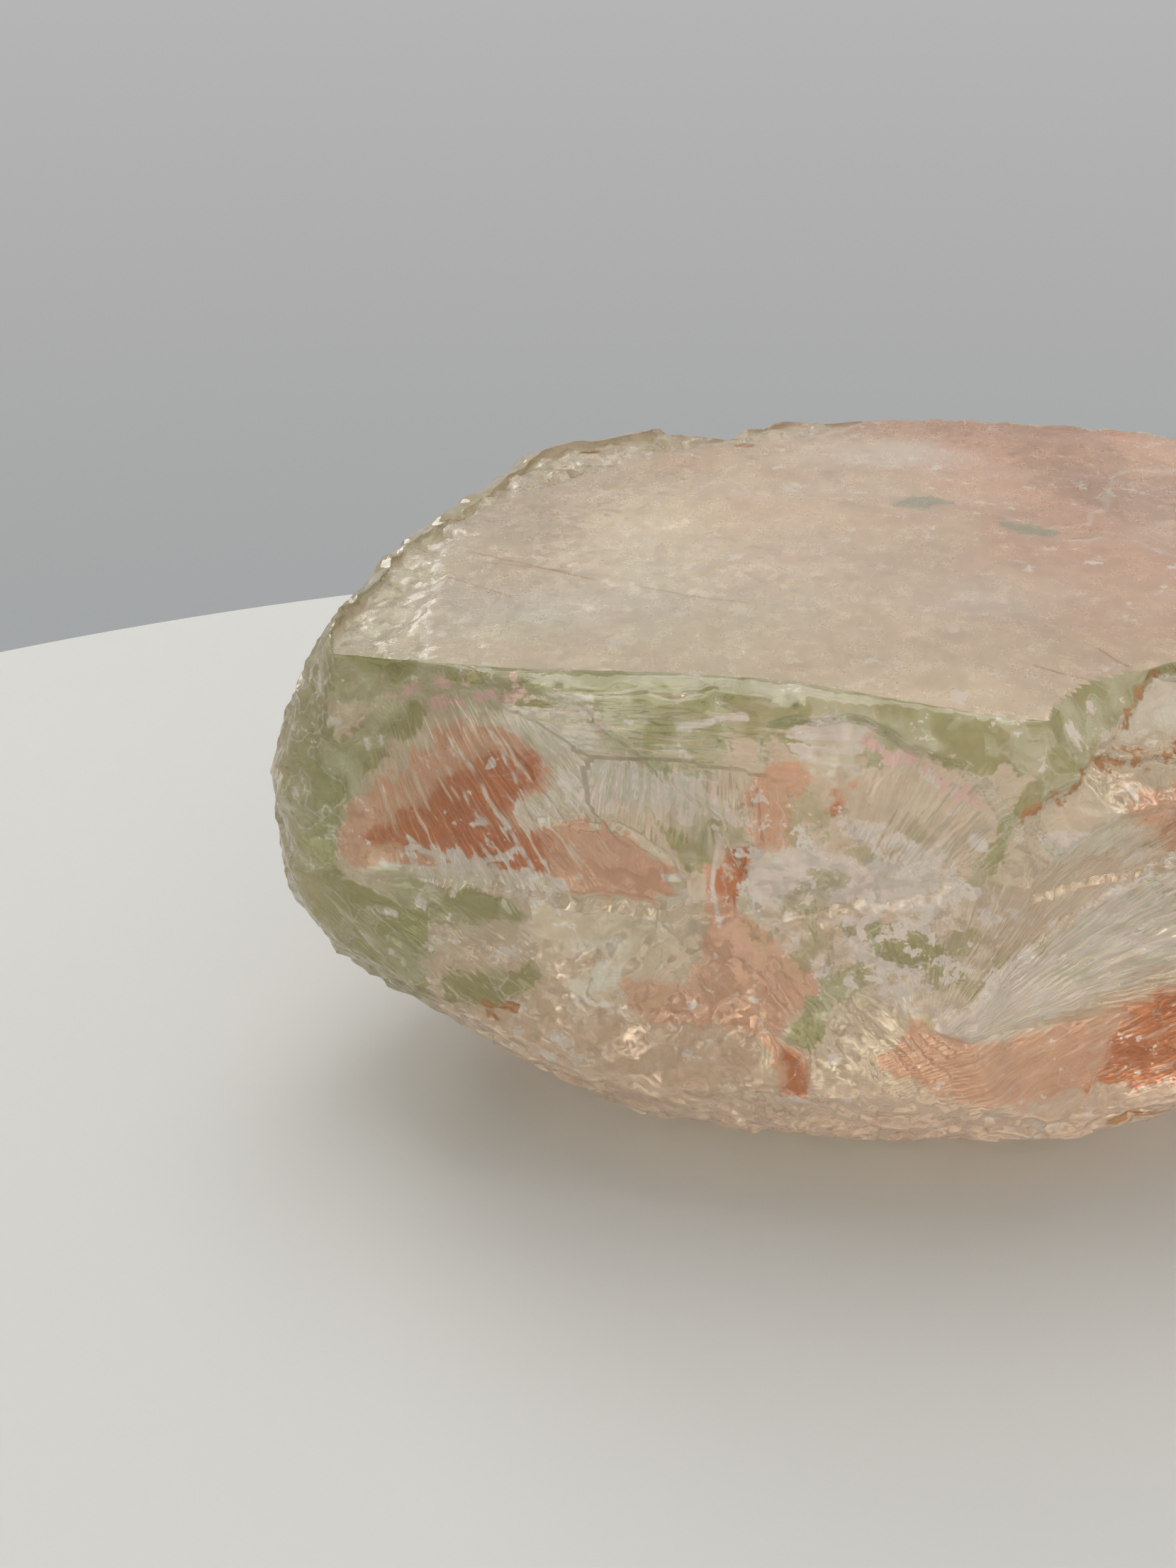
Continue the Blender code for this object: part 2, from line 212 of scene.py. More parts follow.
# where it is grey-green
GREEN_ZONES = (
    ((-15.2, 27.4), (-8.9, 27.7), (-8.8, 24.3), (-11.6, 24.0), (-13.7, 24.5), (-14.7, 26.4)),
    ((-28.4, 19.0), (-27.4, 23.0), (-25.4, 25.4), (-22.6, 26.6), (-21.2, 26.4), (-23.4, 24.2),
     (-25.4, 22.2), (-26.8, 20.4)),
    ((-24.9, 16.9), (-21.7, 16.6), (-18.4, 16.2), (-17.6, 15.2), (-20.4, 14.4), (-23.4, 14.5)),
    ((-29.5, 15.2), (-26.8, 15.8), (-24.6, 14.8), (-23.8, 12.4), (-22.4, 10.2), (-26.0, 9.0)),
    ((-21.9, 12.0), (-18.5, 12.8), (-17.1, 12.0), (-19.5, 10.6), (-21.6, 10.0)),
    ((-11.9, 21.9), (-8.9, 22.5), (-8.9, 19.9), (-10.6, 19.3), (-11.4, 20.6)),
    ((-4.6, 14.9), (-2.2, 15.3), (-1.2, 14.3), (-3.3, 13.0), (-4.1, 10.6), (-5.6, 10.8), (-5.0, 12.6)),
    ((-3.6, 17.9), (0.2, 18.2), (1.4, 16.6), (2.6, 15.2), (0.9, 14.2), (-1.2, 15.4)),
    ((1.6, 20.2), (2.9, 22.3), (4.3, 25.0), (6.5, 27.4), (9.9, 27.6), (9.2, 26.1), (7.4, 25.3),
     (5.4, 24.4), (4.0, 22.8), (3.2, 21.0), (2.5, 19.6)),
)
# where fine cracks make it pale
PALE_ZONES = (
    ((-24.8, 17.1), (-22.9, 17.2), (-22.3, 17.7), (-23.0, 18.6), (-22.2, 18.0), (-21.5, 18.0),
     (-21.0, 18.6), (-20.6, 18.1), (-18.4, 18.9), (-19.4, 17.7), (-18.8, 17.3), (-17.3, 17.3),
     (-16.4, 18.7), (-16.8, 17.4), (-15.4, 17.4), (-16.5, 16.7), (-18.1, 16.4), (-23.1, 16.5)),
    ((-18.7, 19.9), (-18.0, 20.8), (-17.9, 21.6), (-15.2, 22.0), (-13.7, 21.8), (-16.5, 21.0)),
    ((-20.8, 26.1), (-19.2, 26.6), (-16.1, 27.2), (-14.7, 26.8), (-14.1, 24.6), (-17.2, 24.5),
     (-18.6, 25.7)),
    ((-16.4, 23.3), (-14.0, 24.4), (-11.7, 24.5), (-8.9, 24.2), (-8.6, 22.6), (-13.7, 21.9),
     (-16.1, 22.2)),
    ((-7.6, 21.1), (-4.3, 21.7), (-2.3, 21.2), (0.8, 21.2), (1.9, 20.0), (0.6, 18.9), (-1.0, 18.4),
     (-2.3, 19.0), (-4.1, 18.3), (-7.9, 17.4)),
    ((-6.0, 26.0), (-4.4, 27.2), (-2.2, 26.6), (-2.8, 24.8), (-4.8, 25.0)),
    ((1.1, 11.8), (2.8, 13.8), (5.9, 16.2), (8.8, 17.9), (12.4, 19.3), (17.0, 20.6), (17.0, 15.0),
     (13.1, 13.1), (10.3, 12.2), (8.1, 11.4), (4.2, 11.2)),
    ((5.1, 21.2), (5.4, 22.6), (7.9, 23.3), (9.8, 21.6), (10.6, 19.6), (7.7, 20.4)),
    ((-14.8, 13.2), (-13.0, 13.9), (-13.3, 13.3), (-14.8, 11.8), (-16.5, 11.8)),
    ((-15.7, 14.5), (-12.8, 15.1), (-13.2, 14.3)),
    ((7.4, 25.5), (9.6, 26.4), (11.4, 27.4), (18.0, 27.4), (18.0, 25.2), (10.1, 25.3)),
)
# narrow marks on the front: half width in mm and points (x, height)
RUST_LINES = (
    (0.13, ((4.1, 23.2), (5.0, 23.9), (5.9, 24.7), (6.6, 25.3), (8.4, 25.2), (10.3, 24.9), (14.0, 24.4))),
    (0.15, ((9.7, 26.7), (10.3, 27.2), (10.9, 27.6), (12.1, 27.7), (15.0, 27.7))),
    (0.16, ((8.9, 25.8), (9.4, 26.3))),
    (0.24, ((-20.0, 10.4), (-18.9, 10.6))),
    (0.20, ((-19.5, 9.8), (-19.3, 9.6))),
    (0.18, ((-20.1, 7.2), (-19.9, 6.6))),
    (0.26, ((11.2, 4.7), (12.4, 4.7), (13.8, 4.9))),
)
ROSE_LINES = (
    (0.20, ((-22.0, 26.0), (-20.7, 26.4), (-19.2, 27.0), (-17.6, 27.4))),
    (0.13, ((-27.2, 23.0), (-25.6, 24.9), (-24.0, 26.2), (-22.3, 27.0), (-20.4, 27.5))),
    (0.30, ((-2.1, 26.0), (-1.0, 25.7), (0.2, 25.2), (1.4, 24.6), (2.6, 24.0))),
)
PALE_LINES = (
    (0.11, ((-21.4, 24.7), (-20.2, 23.0), (-19.3, 20.8), (-18.7, 20.0), (-17.3, 17.3), (-16.2, 15.8))),
    (0.09, ((-19.5, 25.4), (-18.9, 24.1), (-18.2, 22.5))),
    (0.08, ((-22.4, 24.4), (-21.2, 22.6), (-20.4, 20.8), (-19.6, 19.9))),
    (0.10, ((-8.9, 21.2), (-9.2, 18.6), (-8.8, 16.7))),
    (0.10, ((-27.2, 18.4), (-26.4, 17.4), (-25.8, 16.6))),
    (0.12, ((-7.2, 20.8), (-7.6, 19.2), (-7.2, 17.8))),
    (0.10, ((-7.3, 17.7), (-5.0, 16.9), (-2.6, 17.2), (-1.4, 16.4))),
    (0.15, ((-23.6, 18.9), (-22.9, 18.1), (-22.2, 18.0), (-20.6, 17.7), (-19.0, 18.2), (-18.2, 18.9))),
    (0.11, ((-24.9, 17.2), (-22.6, 17.2), (-20.4, 17.4), (-18.0, 17.4), (-16.2, 17.6))),
)

# painted glints: small white spots standing in for highlights on the front, half size in mm and a short
# run (x, height)
PAINTED_GLINTS = (
    (0.20, ((-20.4, 20.0), (-19.9, 20.2))), (0.24, ((-10.9, 21.9), (-10.6, 21.9))),
    (0.18, ((-9.4, 21.9), (-9.2, 21.8))), (0.20, ((-11.4, 18.9), (-10.6, 18.9))),
    (0.16, ((-10.5, 18.1), (-10.3, 17.8))), (0.24, ((-25.0, 14.9), (-24.2, 14.7))),
    (0.18, ((-24.0, 12.8), (-23.8, 12.4))), (0.22, ((-28.4, 24.6), (-27.8, 24.2))),
    (0.15, ((-28.0, 23.0), (-27.6, 22.4))), (0.22, ((-17.1, 7.8), (-16.7, 7.6))),
    (0.16, ((-10.8, 26.4), (-8.0, 26.5))), (0.30, ((1.8, 22.0), (2.2, 21.8))),
    (0.22, ((-0.2, 25.2), (1.3, 24.7))), (0.26, ((3.4, 13.9), (4.7, 15.2))),
    (0.28, ((9.0, 16.4), (9.9, 16.9))), (0.20, ((-0.4, 13.2), (0.2, 13.2))),
    (0.18, ((5.4, 22.2), (5.8, 22.6))), (0.20, ((2.0, 12.6), (2.8, 12.9))),
    (0.16, ((-15.6, 14.4), (-15.2, 14.2))), (0.18, ((7.4, 4.9), (8.6, 5.1))),
    (0.20, ((-28.6, 22.2), (-28.2, 22.8))), (0.16, ((-29.0, 20.2), (-28.6, 20.6))),
    (0.20, ((-27.2, 24.6), (-26.6, 24.8))), (0.14, ((-29.2, 18.0), (-28.9, 18.4))),
    (0.18, ((-26.2, 13.2), (-25.4, 12.8))), (0.16, ((-22.8, 11.0), (-22.2, 10.8))),
)

# scars left by broken-off flakes: step depth in mm and outline (x, height)
SCARS = (
    (0.50, ((-28.4, 16.0), (-27.6, 22.1), (-26.9, 23.5), (-25.6, 24.9), (-24.0, 26.2), (-22.3, 27.0),
            (-18.2, 27.6), (-15.0, 27.1), (-11.4, 23.9), (-8.4, 22.0), (-8.0, 17.6), (-12.2, 16.6),
            (-18.0, 16.2), (-23.5, 16.4))),
    (-0.22, ((-15.2, 27.4), (-8.9, 27.8), (-8.8, 24.3), (-11.6, 24.0), (-13.7, 24.5), (-14.7, 26.4))),
    (-0.30, ((-17.6, 20.6), (-15.5, 20.8), (-13.5, 21.0), (-11.0, 19.2), (-10.7, 18.1), (-12.2, 17.0),
             (-17.0, 16.8))),
    (0.42, ((-7.0, 26.6), (-3.5, 27.4), (-1.4, 26.7), (1.4, 25.6), (3.1, 24.2), (4.0, 23.1),
            (2.4, 21.0), (0.6, 19.0), (-4.0, 18.2), (-7.9, 17.5), (-8.3, 21.0))),
    (-0.38, ((1.1, 11.8), (2.8, 13.8), (5.9, 16.2), (8.8, 17.9), (12.4, 19.3), (18.0, 21.0),
             (19.0, 15.0), (13.1, 13.1), (8.1, 11.4), (4.2, 11.2))),
    (0.50, ((4.0, 23.1), (5.0, 24.0), (5.9, 24.8), (6.6, 25.3), (8.4, 25.2), (10.3, 24.9), (15.0, 24.2),
            (20.0, 21.0), (16.0, 19.8), (10.0, 18.6), (5.0, 18.8))),
    (0.38, ((7.4, 25.4), (9.0, 26.2), (10.1, 27.0), (11.0, 27.7), (14.0, 28.4), (20.0, 28.0),
            (20.0, 24.8), (10.1, 25.2))),
    (0.28, ((-6.9, 11.7), (-4.6, 10.2), (-4.3, 7.4), (-6.4, 9.0))),
    (-0.30, ((-26.6, 15.6), (-20.0, 13.6), (-16.0, 12.0), (-17.0, 10.4), (-22.0, 10.2), (-26.0, 12.4))),
)
# shelves on the top face: step depth in mm and outline (x, y)
SHELVES = (
    (0.16, ((7.7, 1.0), (8.6, -0.4), (11.6, -0.3), (13.5, 3.9), (17.1, 3.7), (20.0, 2.0), (19.0, -4.0),
            (15.1, -4.1), (12.5, -1.8), (9.4, -2.4), (7.4, -1.6))),
    (0.12, ((13.2, 3.8), (16.9, 2.6), (21.0, 4.0), (21.0, 8.0), (15.0, 7.6))),
    (0.30, ((-22.6, -15.0), (-22.8, -9.0), (-22.4, -2.0), (-20.6, 3.0), (-16.2, 6.4), (-12.0, 9.4),
            (-6.0, 11.4), (0.0, 13.4), (3.0, 16.0), (0.0, 22.0), (-30.0, 22.0), (-32.0, -15.0))),
)
# cracks and scratches on the top face: half width in mm, start and end (x, y)
TOP_CRACKS = (
    (0.10, (5.3, -16.4), (6.8, -17.3)), (0.08, (6.8, -17.3), (8.4, -17.9)),
    (0.08, (8.7, -14.4), (9.9, -16.4)), (0.07, (-21.4, -3.1), (-14.1, -7.1)),
    (0.06, (-23.0, -5.0), (-18.3, -9.2)), (0.05, (-12.6, -7.6), (-6.7, -10.0)),
    (0.06, (-20.4, -4.4), (-15.6, -6.0)),
)
# dark and brown marks on the top face: half sizes in mm and middle (x, y)
DARK_MARKS = (((1.55, 1.05), (3.1, 2.3)), ((1.2, 0.9), (8.3, -0.9)))
BROWN_MARKS = (((0.7, 0.4), (-14.7, 11.1)), ((0.8, 0.3), (-6.2, 10.9)), ((0.5, 0.35), (-15.4, 7.2)))
# pale milky clouds under the top face: half size in mm, middle (x, y) and strength
CLOUDS = (
    ((4.0, 2.2), (2.6, 9.4), 0.9), ((4.2, 1.9), (3.6, -9.8), 0.6), ((6.5, 2.2), (-17.5, -9.9), 0.75),
    ((7.0, 1.7), (-8.0, 12.8), 0.6), ((5.0, 1.0), (-1.6, 4.0), 0.45), ((9.0, 4.0), (-8.0, -6.0), 0.35),
    ((4.5, 3.5), (16.5, 2.5), 0.3),
)


def length_setting(name, description, default):
    """A panel setting for a length in metres."""
    return bpy.props.FloatProperty(
        name=name, description=description, default=default, unit="LENGTH", subtype="DISTANCE",
    )


def colour_setting(name, description, default):
    """A panel setting for a linear colour."""
    return bpy.props.FloatVectorProperty(
        name=name, description=description, default=default, subtype="COLOR",
        size=3, min=0.0, max=1.0,
    )


def count_setting(name, description, default, least):
    """A panel setting for a whole number."""
    return bpy.props.IntProperty(name=name, description=description, default=default, min=least)


def gloss_setting(name, description, default):
    """A panel setting for a roughness from 0 to 1."""
    return bpy.props.FloatProperty(
        name=name, description=description, default=default, subtype="FACTOR", min=0.0, max=1.0,
    )


def power_setting(name, description, default):
    """A panel setting for the power of a light in watts."""
    return bpy.props.FloatProperty(name=name, description=description, default=default, unit="POWER")


class BerylShape(bpy.types.PropertyGroup):
    """Sizes of the stone's fine surface."""

    spokes: count_setting("Spokes", "Points round each ring of the surface", 440, 48)
    top_rings: count_setting("Top rings", "Rings across the flat top face", 58, 6)
    flank_rings: count_setting("Flank rings", "Rings down the broken flank", 148, 12)
    spot_rings: count_setting("Spot rings", "Rings across the resting spot", 10, 2)
    ridge_wear: length_setting("Ridge wear", "Width over which a ridge is rounded", 0.00010)
    ripple_height: length_setting("Ripple height", "Height of shell ripples on glassy breaks", 0.00006)
    rib_height: length_setting("Rib height", "Height of the ribs that fan over the front", 0.00012)
    crumb_height: length_setting("Crumb height", "Height of the facets on rough places", 0.00030)
    terrace_height: length_setting("Terrace height", "Height of the steps on sides and back", 0.00042)
    etch_height: length_setting("Etch height", "Height of the waves on the etched top face", 0.00005)


class BerylFinish(bpy.types.PropertyGroup):
    """Colours and gloss of the stone."""

    salmon: colour_setting("Salmon", "Warm pink of the stone's heart", (0.90, 0.50, 0.31))
    deep: colour_setting("Deep salmon", "Strongest pink", (0.64, 0.17, 0.05))
    rose: colour_setting("Rose", "Cooler pink of the bright streaks", (0.98, 0.66, 0.60))
    green: colour_setting("Green", "Grey-green of the rim", (0.68, 0.72, 0.45))
    moss: colour_setting("Moss", "Deeper green of the left rim and lower edge", (0.38, 0.41, 0.16))
    mint: colour_setting("Mint", "Pale green-white of the veils", (0.86, 0.90, 0.68))
    # white is the stone's pale cracks and also the painted highlights: glints, flecks and the line along
    # the shelf edges
    white: colour_setting("White", "Fine cracks that catch the light", (1.0, 0.98, 0.90))
    sand: colour_setting("Sand", "Warm beige between the colours", (0.88, 0.73, 0.52))
    face: colour_setting("Face", "Pale beige of the etched faces", (0.98, 0.86, 0.66))
    blush: colour_setting("Blush", "Pink that shows through the top face", (0.85, 0.51, 0.38))
    cloud: colour_setting("Cloud", "Milky clouds under the top face", (1.0, 0.92, 0.82))
    rust: colour_setting("Rust", "Iron stain in the cracks", (0.50, 0.21, 0.06))
    dark: colour_setting("Dark", "Dark grey-green marks", (0.46, 0.48, 0.36))
    glassy: gloss_setting("Glassy roughness", "Roughness of the fresh breaks", 0.06)
    frosted: gloss_setting("Frosted roughness", "Roughness of the etched faces", 0.26)
    chip_pitch: length_setting("Chip pitch", "Distance between the smallest facets", 0.00046)


class BerylStage(bpy.types.PropertyGroup):
    """Floor, light and camera."""

    table_reach: length_setting("Table reach", "Radius of the pale round table", 0.152)
    table_colour: colour_setting("Table colour", "Colour of the table", (0.655, 0.655, 0.632))
    wall_level: bpy.props.FloatProperty(
        name="Wall level", description="Brightness of the grey surroundings",
        min=0.0, max=4.0, default=1.0,
    )
    softbox_power: power_setting("Softbox power", "Power of the large light above", 1.6)
    window_power: power_setting("Window power", "Power of the light behind the stone", 1.5)
    fill_power: power_setting("Fill power", "Power of the soft light in front", 0.75)


def smooth_step(low, high, value):
    """0 below low, 1 above high, and 3t^2 - 2t^3 between them."""
    part = np.clip((value - low) / (high - low), 0.0, 1.0)
    return part * part * (3.0 - 2.0 * part)


def blended(share, first, second):
    """The first times 1 - share, plus the second times share."""
    return first * (1.0 - share) + second * share


def grain(points, size, seed):
    """Smooth random field from -1 to 1.

    Random values stand on a lattice size mm apart, and each point blends the
    eight round it with the weight 3t^2 - 2t^3 along each axis.
    """
    table = np.random.RandomState(seed).uniform(-1.0, 1.0, (GRAIN_CELLS,) * 3)
    scaled = points / size
    corner = np.floor(scaled).astype(np.int64)
    part = scaled - corner
    part = part * part * (3.0 - 2.0 * part)
    total = np.zeros(len(points))
    for step in np.ndindex(2, 2, 2):
        weight = np.prod(np.where(step, part, 1.0 - part), axis=1)
        place = (corner + step) % GRAIN_CELLS
        total += weight * table[place[:, 0], place[:, 1], place[:, 2]]
    return total


def layered_grain(points, size, seed, layers=3):
    """Sum of grain fields, each half the size and half the height of the last."""
    total = np.zeros(len(points))
    for layer in range(layers):
        total += grain(points, size / 2**layer, seed + layer) / 2**layer
    return total


def grain_arrows(points, size, seed, count=3):
    """Grain fields with seeds one apart, side by side as the parts of an arrow."""
    return np.stack([grain(points, size, seed + axis) for axis in range(count)], axis=1)


def crumbs(points, size, seed):
    """Heights of broken facets, about -1 to 1.

    Points are scattered one to a cell of a lattice size mm apart. Each place
    belongs to its nearest point, and its height is that point's own slope
    times the offset from it, so every cell is a small tilted plane.
    """
    maker = np.random.RandomState(seed)
    jitter = maker.uniform(0.1, 0.9, (CRUMB_CELLS,) * 3 + (3,))
    tilt = maker.normal(size=(CRUMB_CELLS,) * 3 + (3,))
    scaled = points / size
    corner = np.floor(scaled).astype(np.int64)
    nearest = np.full(len(points), np.inf)
    height = np.zeros(len(points))
    for step in np.ndindex(3, 3, 3):
        cell = corner + step - 1
        place = tuple((cell % CRUMB_CELLS).T)
        offset = scaled - cell - jitter[place]
        distance = np.einsum("ij,ij->i", offset, offset)
        closer = distance < nearest
        nearest = np.where(closer, distance, nearest)
        slope = np.einsum("ij,ij->i", offset, tilt[place])
        height = np.where(closer, slope, height)
    return np.clip(height, -1.0, 1.0)


def lumps(points):
    """Seeded sum of fourteen sine waves 6 to 17 mm long, about -1 to 1."""
    maker = np.random.RandomState(5)
    total = np.zeros(len(points))
    for _ in range(LUMP_WAVES):
        way = maker.normal(size=3)
        way = way / np.linalg.norm(way)
        length = maker.uniform(6.0, 17.0)
        start = maker.uniform(0.0, 2.0 * math.pi)
        total += np.sin(points @ way * (2.0 * math.pi / length) + start)
    return total / math.sqrt(LUMP_WAVES)


def round_the_stone(degrees, values, angle):
    """Closed curve through the values at the compass degrees.

    Between two of them it is the cubic with weights 2t^3 - 3t^2 + 1 and
    3t^2 - 2t^3, with slopes that are the harmonic mean of the steps beside.
    """
    keys = np.radians(np.asarray(degrees, dtype=float))
    values = np.asarray(values, dtype=float)
    turn = 2.0 * math.pi
    keys = np.concatenate([keys - turn, keys, keys + turn])
    values = np.concatenate([values, values, values])
    steps = np.diff(values) / np.diff(keys)
    slopes = np.zeros_like(values)
    product = steps[:-1] * steps[1:]
    total = steps[:-1] + steps[1:]
    safe = np.where(total == 0.0, 1.0, total)
    slopes[1:-1] = np.where(product > 0.0, 2.0 * product / safe, 0.0)
    angle = np.mod(angle, turn)
    left = np.clip(np.searchsorted(keys, angle, side="right") - 1, 0, len(keys) - 2)
    width = keys[left + 1] - keys[left]
    part = (angle - keys[left]) / width
    near = (2.0 * part**3 - 3.0 * part**2 + 1.0) * values[left]
    near = near + (part**3 - 2.0 * part**2 + part) * width * slopes[left]
    far = (3.0 * part**2 - 2.0 * part**3) * values[left + 1]
    far = far + (part**3 - part**2) * width * slopes[left + 1]
    return near + far


def top_reach(angle):
    """Distance from the axis to the top edge, on straight lines between corners."""
    corners = np.asarray(TOP_CORNERS) - (AXIS_X, AXIS_Y)
    turn = 2.0 * math.pi
    bearing = np.mod(np.arctan2(corners[:, 1], corners[:, 0]), turn)
    order = np.argsort(bearing)
    bearing = bearing[order]
    corners = corners[order]
    bearing = np.concatenate([bearing[-1:] - turn, bearing, bearing[:1] + turn])
    corners = np.concatenate([corners[-1:], corners, corners[:1]])
    angle = np.mod(angle, turn)
    left = np.clip(np.searchsorted(bearing, angle, side="right") - 1, 0, len(bearing) - 2)
    start = corners[left]
    run = corners[left + 1] - start
    cross = start[:, 0] * run[:, 1] - start[:, 1] * run[:, 0]
    return cross / (np.cos(angle) * run[:, 1] - np.sin(angle) * run[:, 0])


def top_height(x, y):
    """Height of the top face: a plane that rises to the back, less a square crown."""
    return TOP_HEIGHT + TOP_SLOPE * (y - TOP_FRONT) - TOP_CROWN * (x - CROWN_X) ** 2


def facing_way(compass, rise):
    """Unit arrow towards a compass direction and a rise above level, in degrees."""
    turn = math.radians(compass)
    lift = math.radians(rise)
    return np.array([
        math.cos(turn) * math.cos(lift),
        math.sin(turn) * math.cos(lift),
        math.sin(lift),
    ])


def turned_axes(turns):
    """Rotation matrix for turns about X, then Y, then Z, in degrees."""
    ax, ay, az = (math.radians(value) for value in turns)
    about_x = np.array([[1, 0, 0], [0, math.cos(ax), -math.sin(ax)], [0, math.sin(ax), math.cos(ax)]])
    about_y = np.array([[math.cos(ay), 0, math.sin(ay)], [0, 1, 0], [-math.sin(ay), 0, math.cos(ay)]])
    about_z = np.array([[math.cos(az), -math.sin(az), 0], [math.sin(az), math.cos(az), 0], [0, 0, 1]])
    return about_z @ about_y @ about_x


def uncut_stone(angle, down):
    """Points of the uncut stone in mm, for compass angle and way down.

    down 0 to 1 runs straight over the top face, 1 to 2 down the flank on two
    quarter ovals (edge to widest place, widest place to resting spot), and 2
    to 3 over the flat spot. The lumps field is added outward on the flank.
    """
    across = np.cos(angle)
    along = np.sin(angle)
    keys = [row[0] for row in FLANKS]
    table = np.asarray(FLANKS)
    widest, level, foot, above, below = (
        round_the_stone(keys, table[:, column], angle) for column in range(1, 6)
    )
    edge = top_reach(angle)
    edge_height = top_height(AXIS_X + edge * across, AXIS_Y + edge * along)
    reach = edge * np.clip(down, 0.0, 1.0)
    height = top_height(AXIS_X + reach * across, AXIS_Y + reach * along)
    turn = np.clip(down - 1.0, 0.0, 1.0) * math.pi
    rise = np.abs(np.sin(turn))
    fall = np.abs(np.cos(turn))
    on_flank = down > 1.0
    upper = on_flank & (turn < math.pi / 2.0)
    lower = on_flank & ~upper
    reach = np.where(upper, edge + (widest - edge) * rise**above, reach)
    height = np.where(upper, level + (edge_height - level) * fall**above, height)
    reach = np.where(lower, foot + (widest - foot) * rise**below, reach)
    height = np.where(lower, level * (1.0 - fall**below), height)
    on_spot = down >= 2.0
    reach = np.where(on_spot, foot * (3.0 - down), reach)
    height = np.where(on_spot, 0.0, height)
    points = np.stack([AXIS_X + reach * across, AXIS_Y + reach * along, height], axis=-1)
    bump = lumps(points)
    outward = points - MIDDLE
    outward = outward / np.linalg.norm(outward, axis=1, keepdims=True)
    lift = np.where(on_flank & ~on_spot, 0.30 * np.clip(rise * 2.5, 0.0, 1.0), 0.0)
    points = points + outward * (lift * bump)[:, None]
    swell = 0.10 * np.clip((1.0 - down) * 6.0, 0.0, 1.0)
    points[:, 2] += np.where(down < 1.0, swell * bump, 0.0)
    return points


def worn_least(first, second, wear):
    """The smaller of two distances, rounded over wear where they cross."""
    gap = np.minimum(np.abs(first - second) / wear, 40.0)
    return np.minimum(first, second) - wear * np.log1p(np.exp(-gap))


def cut_by_plane(distance, way, facing, reach, wear):
    """Shortens each ray from the middle to the plane facing . p = reach."""
    slope = way @ facing
    limit = np.where(slope > 1e-6, reach / np.maximum(slope, 1e-6), 1e6)
    return worn_least(distance, limit, wear)


def cut_by_hollow(distance, way, middle, half_widths, turns, wear):
    """Shortens each ray to where it enters a stretched ball.

    With the ball made round of radius 1, the ray q + t d enters it at
    t = (-b - sqrt(b^2 - a c)) / a, where a = d.d, b = q.d and c = q.q - 1.
    """
    axes = turned_axes(turns)
    start = ((MIDDLE - middle) @ axes) / half_widths
    run = (way @ axes) / half_widths
    a = np.einsum("ij,ij->i", run, run)
    b = run @ start
    c = start @ start - 1.0
    under = b * b - a * c
    enter = (-b - np.sqrt(np.maximum(under, 0.0))) / a
    limit = np.where((under > 0.0) & (enter > 0.0), enter, 1e6)
    return worn_least(distance, limit, wear)


def cut_stone(points, wear):
    """The uncut points drawn in to the flat breaks, crystal faces and hollows.

    Each point slides along its ray from the middle. Also returns how much
    each kind of cut took off, in mm.
    """
    offset = points - MIDDLE
    distance = np.linalg.norm(offset, axis=1)
    way = offset / distance[:, None]
    maker = np.random.RandomState(21)
    for rise, count, skip_from, skip_to in FACET_ROWS:
        for index in range(count):
            compass = 360.0 * (index + 0.5 * (count % 2)) / count
            compass = compass + maker.uniform(-6.0, 6.0)
            tilt = rise + maker.uniform(-6.0, 6.0)
            depth = maker.uniform(0.5, 1.1)
            if skip_from < compass % 360.0 < skip_to:
                continue
            facing = facing_way(compass, tilt)
            reach = float((distance * (way @ facing)).max()) - depth
            distance = cut_by_plane(distance, way, facing, reach, wear)
    before = distance.copy()
    for compass, rise, reach in FLATS:
        distance = cut_by_plane(distance, way, facing_way(compass, rise), reach, wear)
    crystal = before - distance
    before = distance.copy()
    bowls = np.zeros((len(HOLLOWS), len(points)))
    for index, (middle, half_widths, turns) in enumerate(HOLLOWS):
        held = distance
        distance = cut_by_hollow(
            distance, way, np.asarray(middle), np.asarray(half_widths), turns, wear,
        )
        bowls[index] = held - distance
    return MIDDLE + way * distance[:, None], way, crystal, bowls


def to_line(flat, corners):
    """Distance from each point to the nearest place on a line of straight pieces."""
    best = np.full(len(flat), np.inf)
    corners = np.asarray(corners, dtype=float)
    for start, end in zip(corners[:-1], corners[1:]):
        run = end - start
        part = np.clip(((flat - start) @ run) / float(np.hypot(*run))**2, 0.0, 1.0)
        gap = np.linalg.norm(flat - start - part[:, None] * run, axis=1)
        best = np.minimum(best, gap)
    return best


def zone_cover(flat, middle, half_widths, lean=0.0, edge=0.3):
    """1 inside a leaning oval, 0 outside, with a soft edge."""
    turn = math.radians(lean)
    offset = flat - np.asarray(middle)
    along = offset[:, 0] * math.cos(turn) + offset[:, 1] * math.sin(turn)
    across = offset[:, 1] * math.cos(turn) - offset[:, 0] * math.sin(turn)
    spread = np.hypot(along / half_widths[0], across / half_widths[1])
    return 1.0 - smooth_step(1.0 - edge, 1.0 + edge, spread)


def depth_inside(flat, corners):
    """Distance to a closed outline in mm, positive inside it.

    A point is inside when a line from it crosses the outline an odd number of times.
    """
    closed = np.concatenate([np.asarray(corners, dtype=float), [corners[0]]])
    gap = to_line(flat, closed)
    inside = np.zeros(len(flat), dtype=bool)
    for start, end in zip(closed[:-1], closed[1:]):
        spans = (start[1] > flat[:, 1]) != (end[1] > flat[:, 1])
        rise = end[1] - start[1] if end[1] != start[1] else 1.0
        meet = start[0] + (flat[:, 1] - start[1]) * (end[0] - start[0]) / rise
        inside ^= spans & (flat[:, 0] < meet)
    return np.where(inside, gap, -gap)


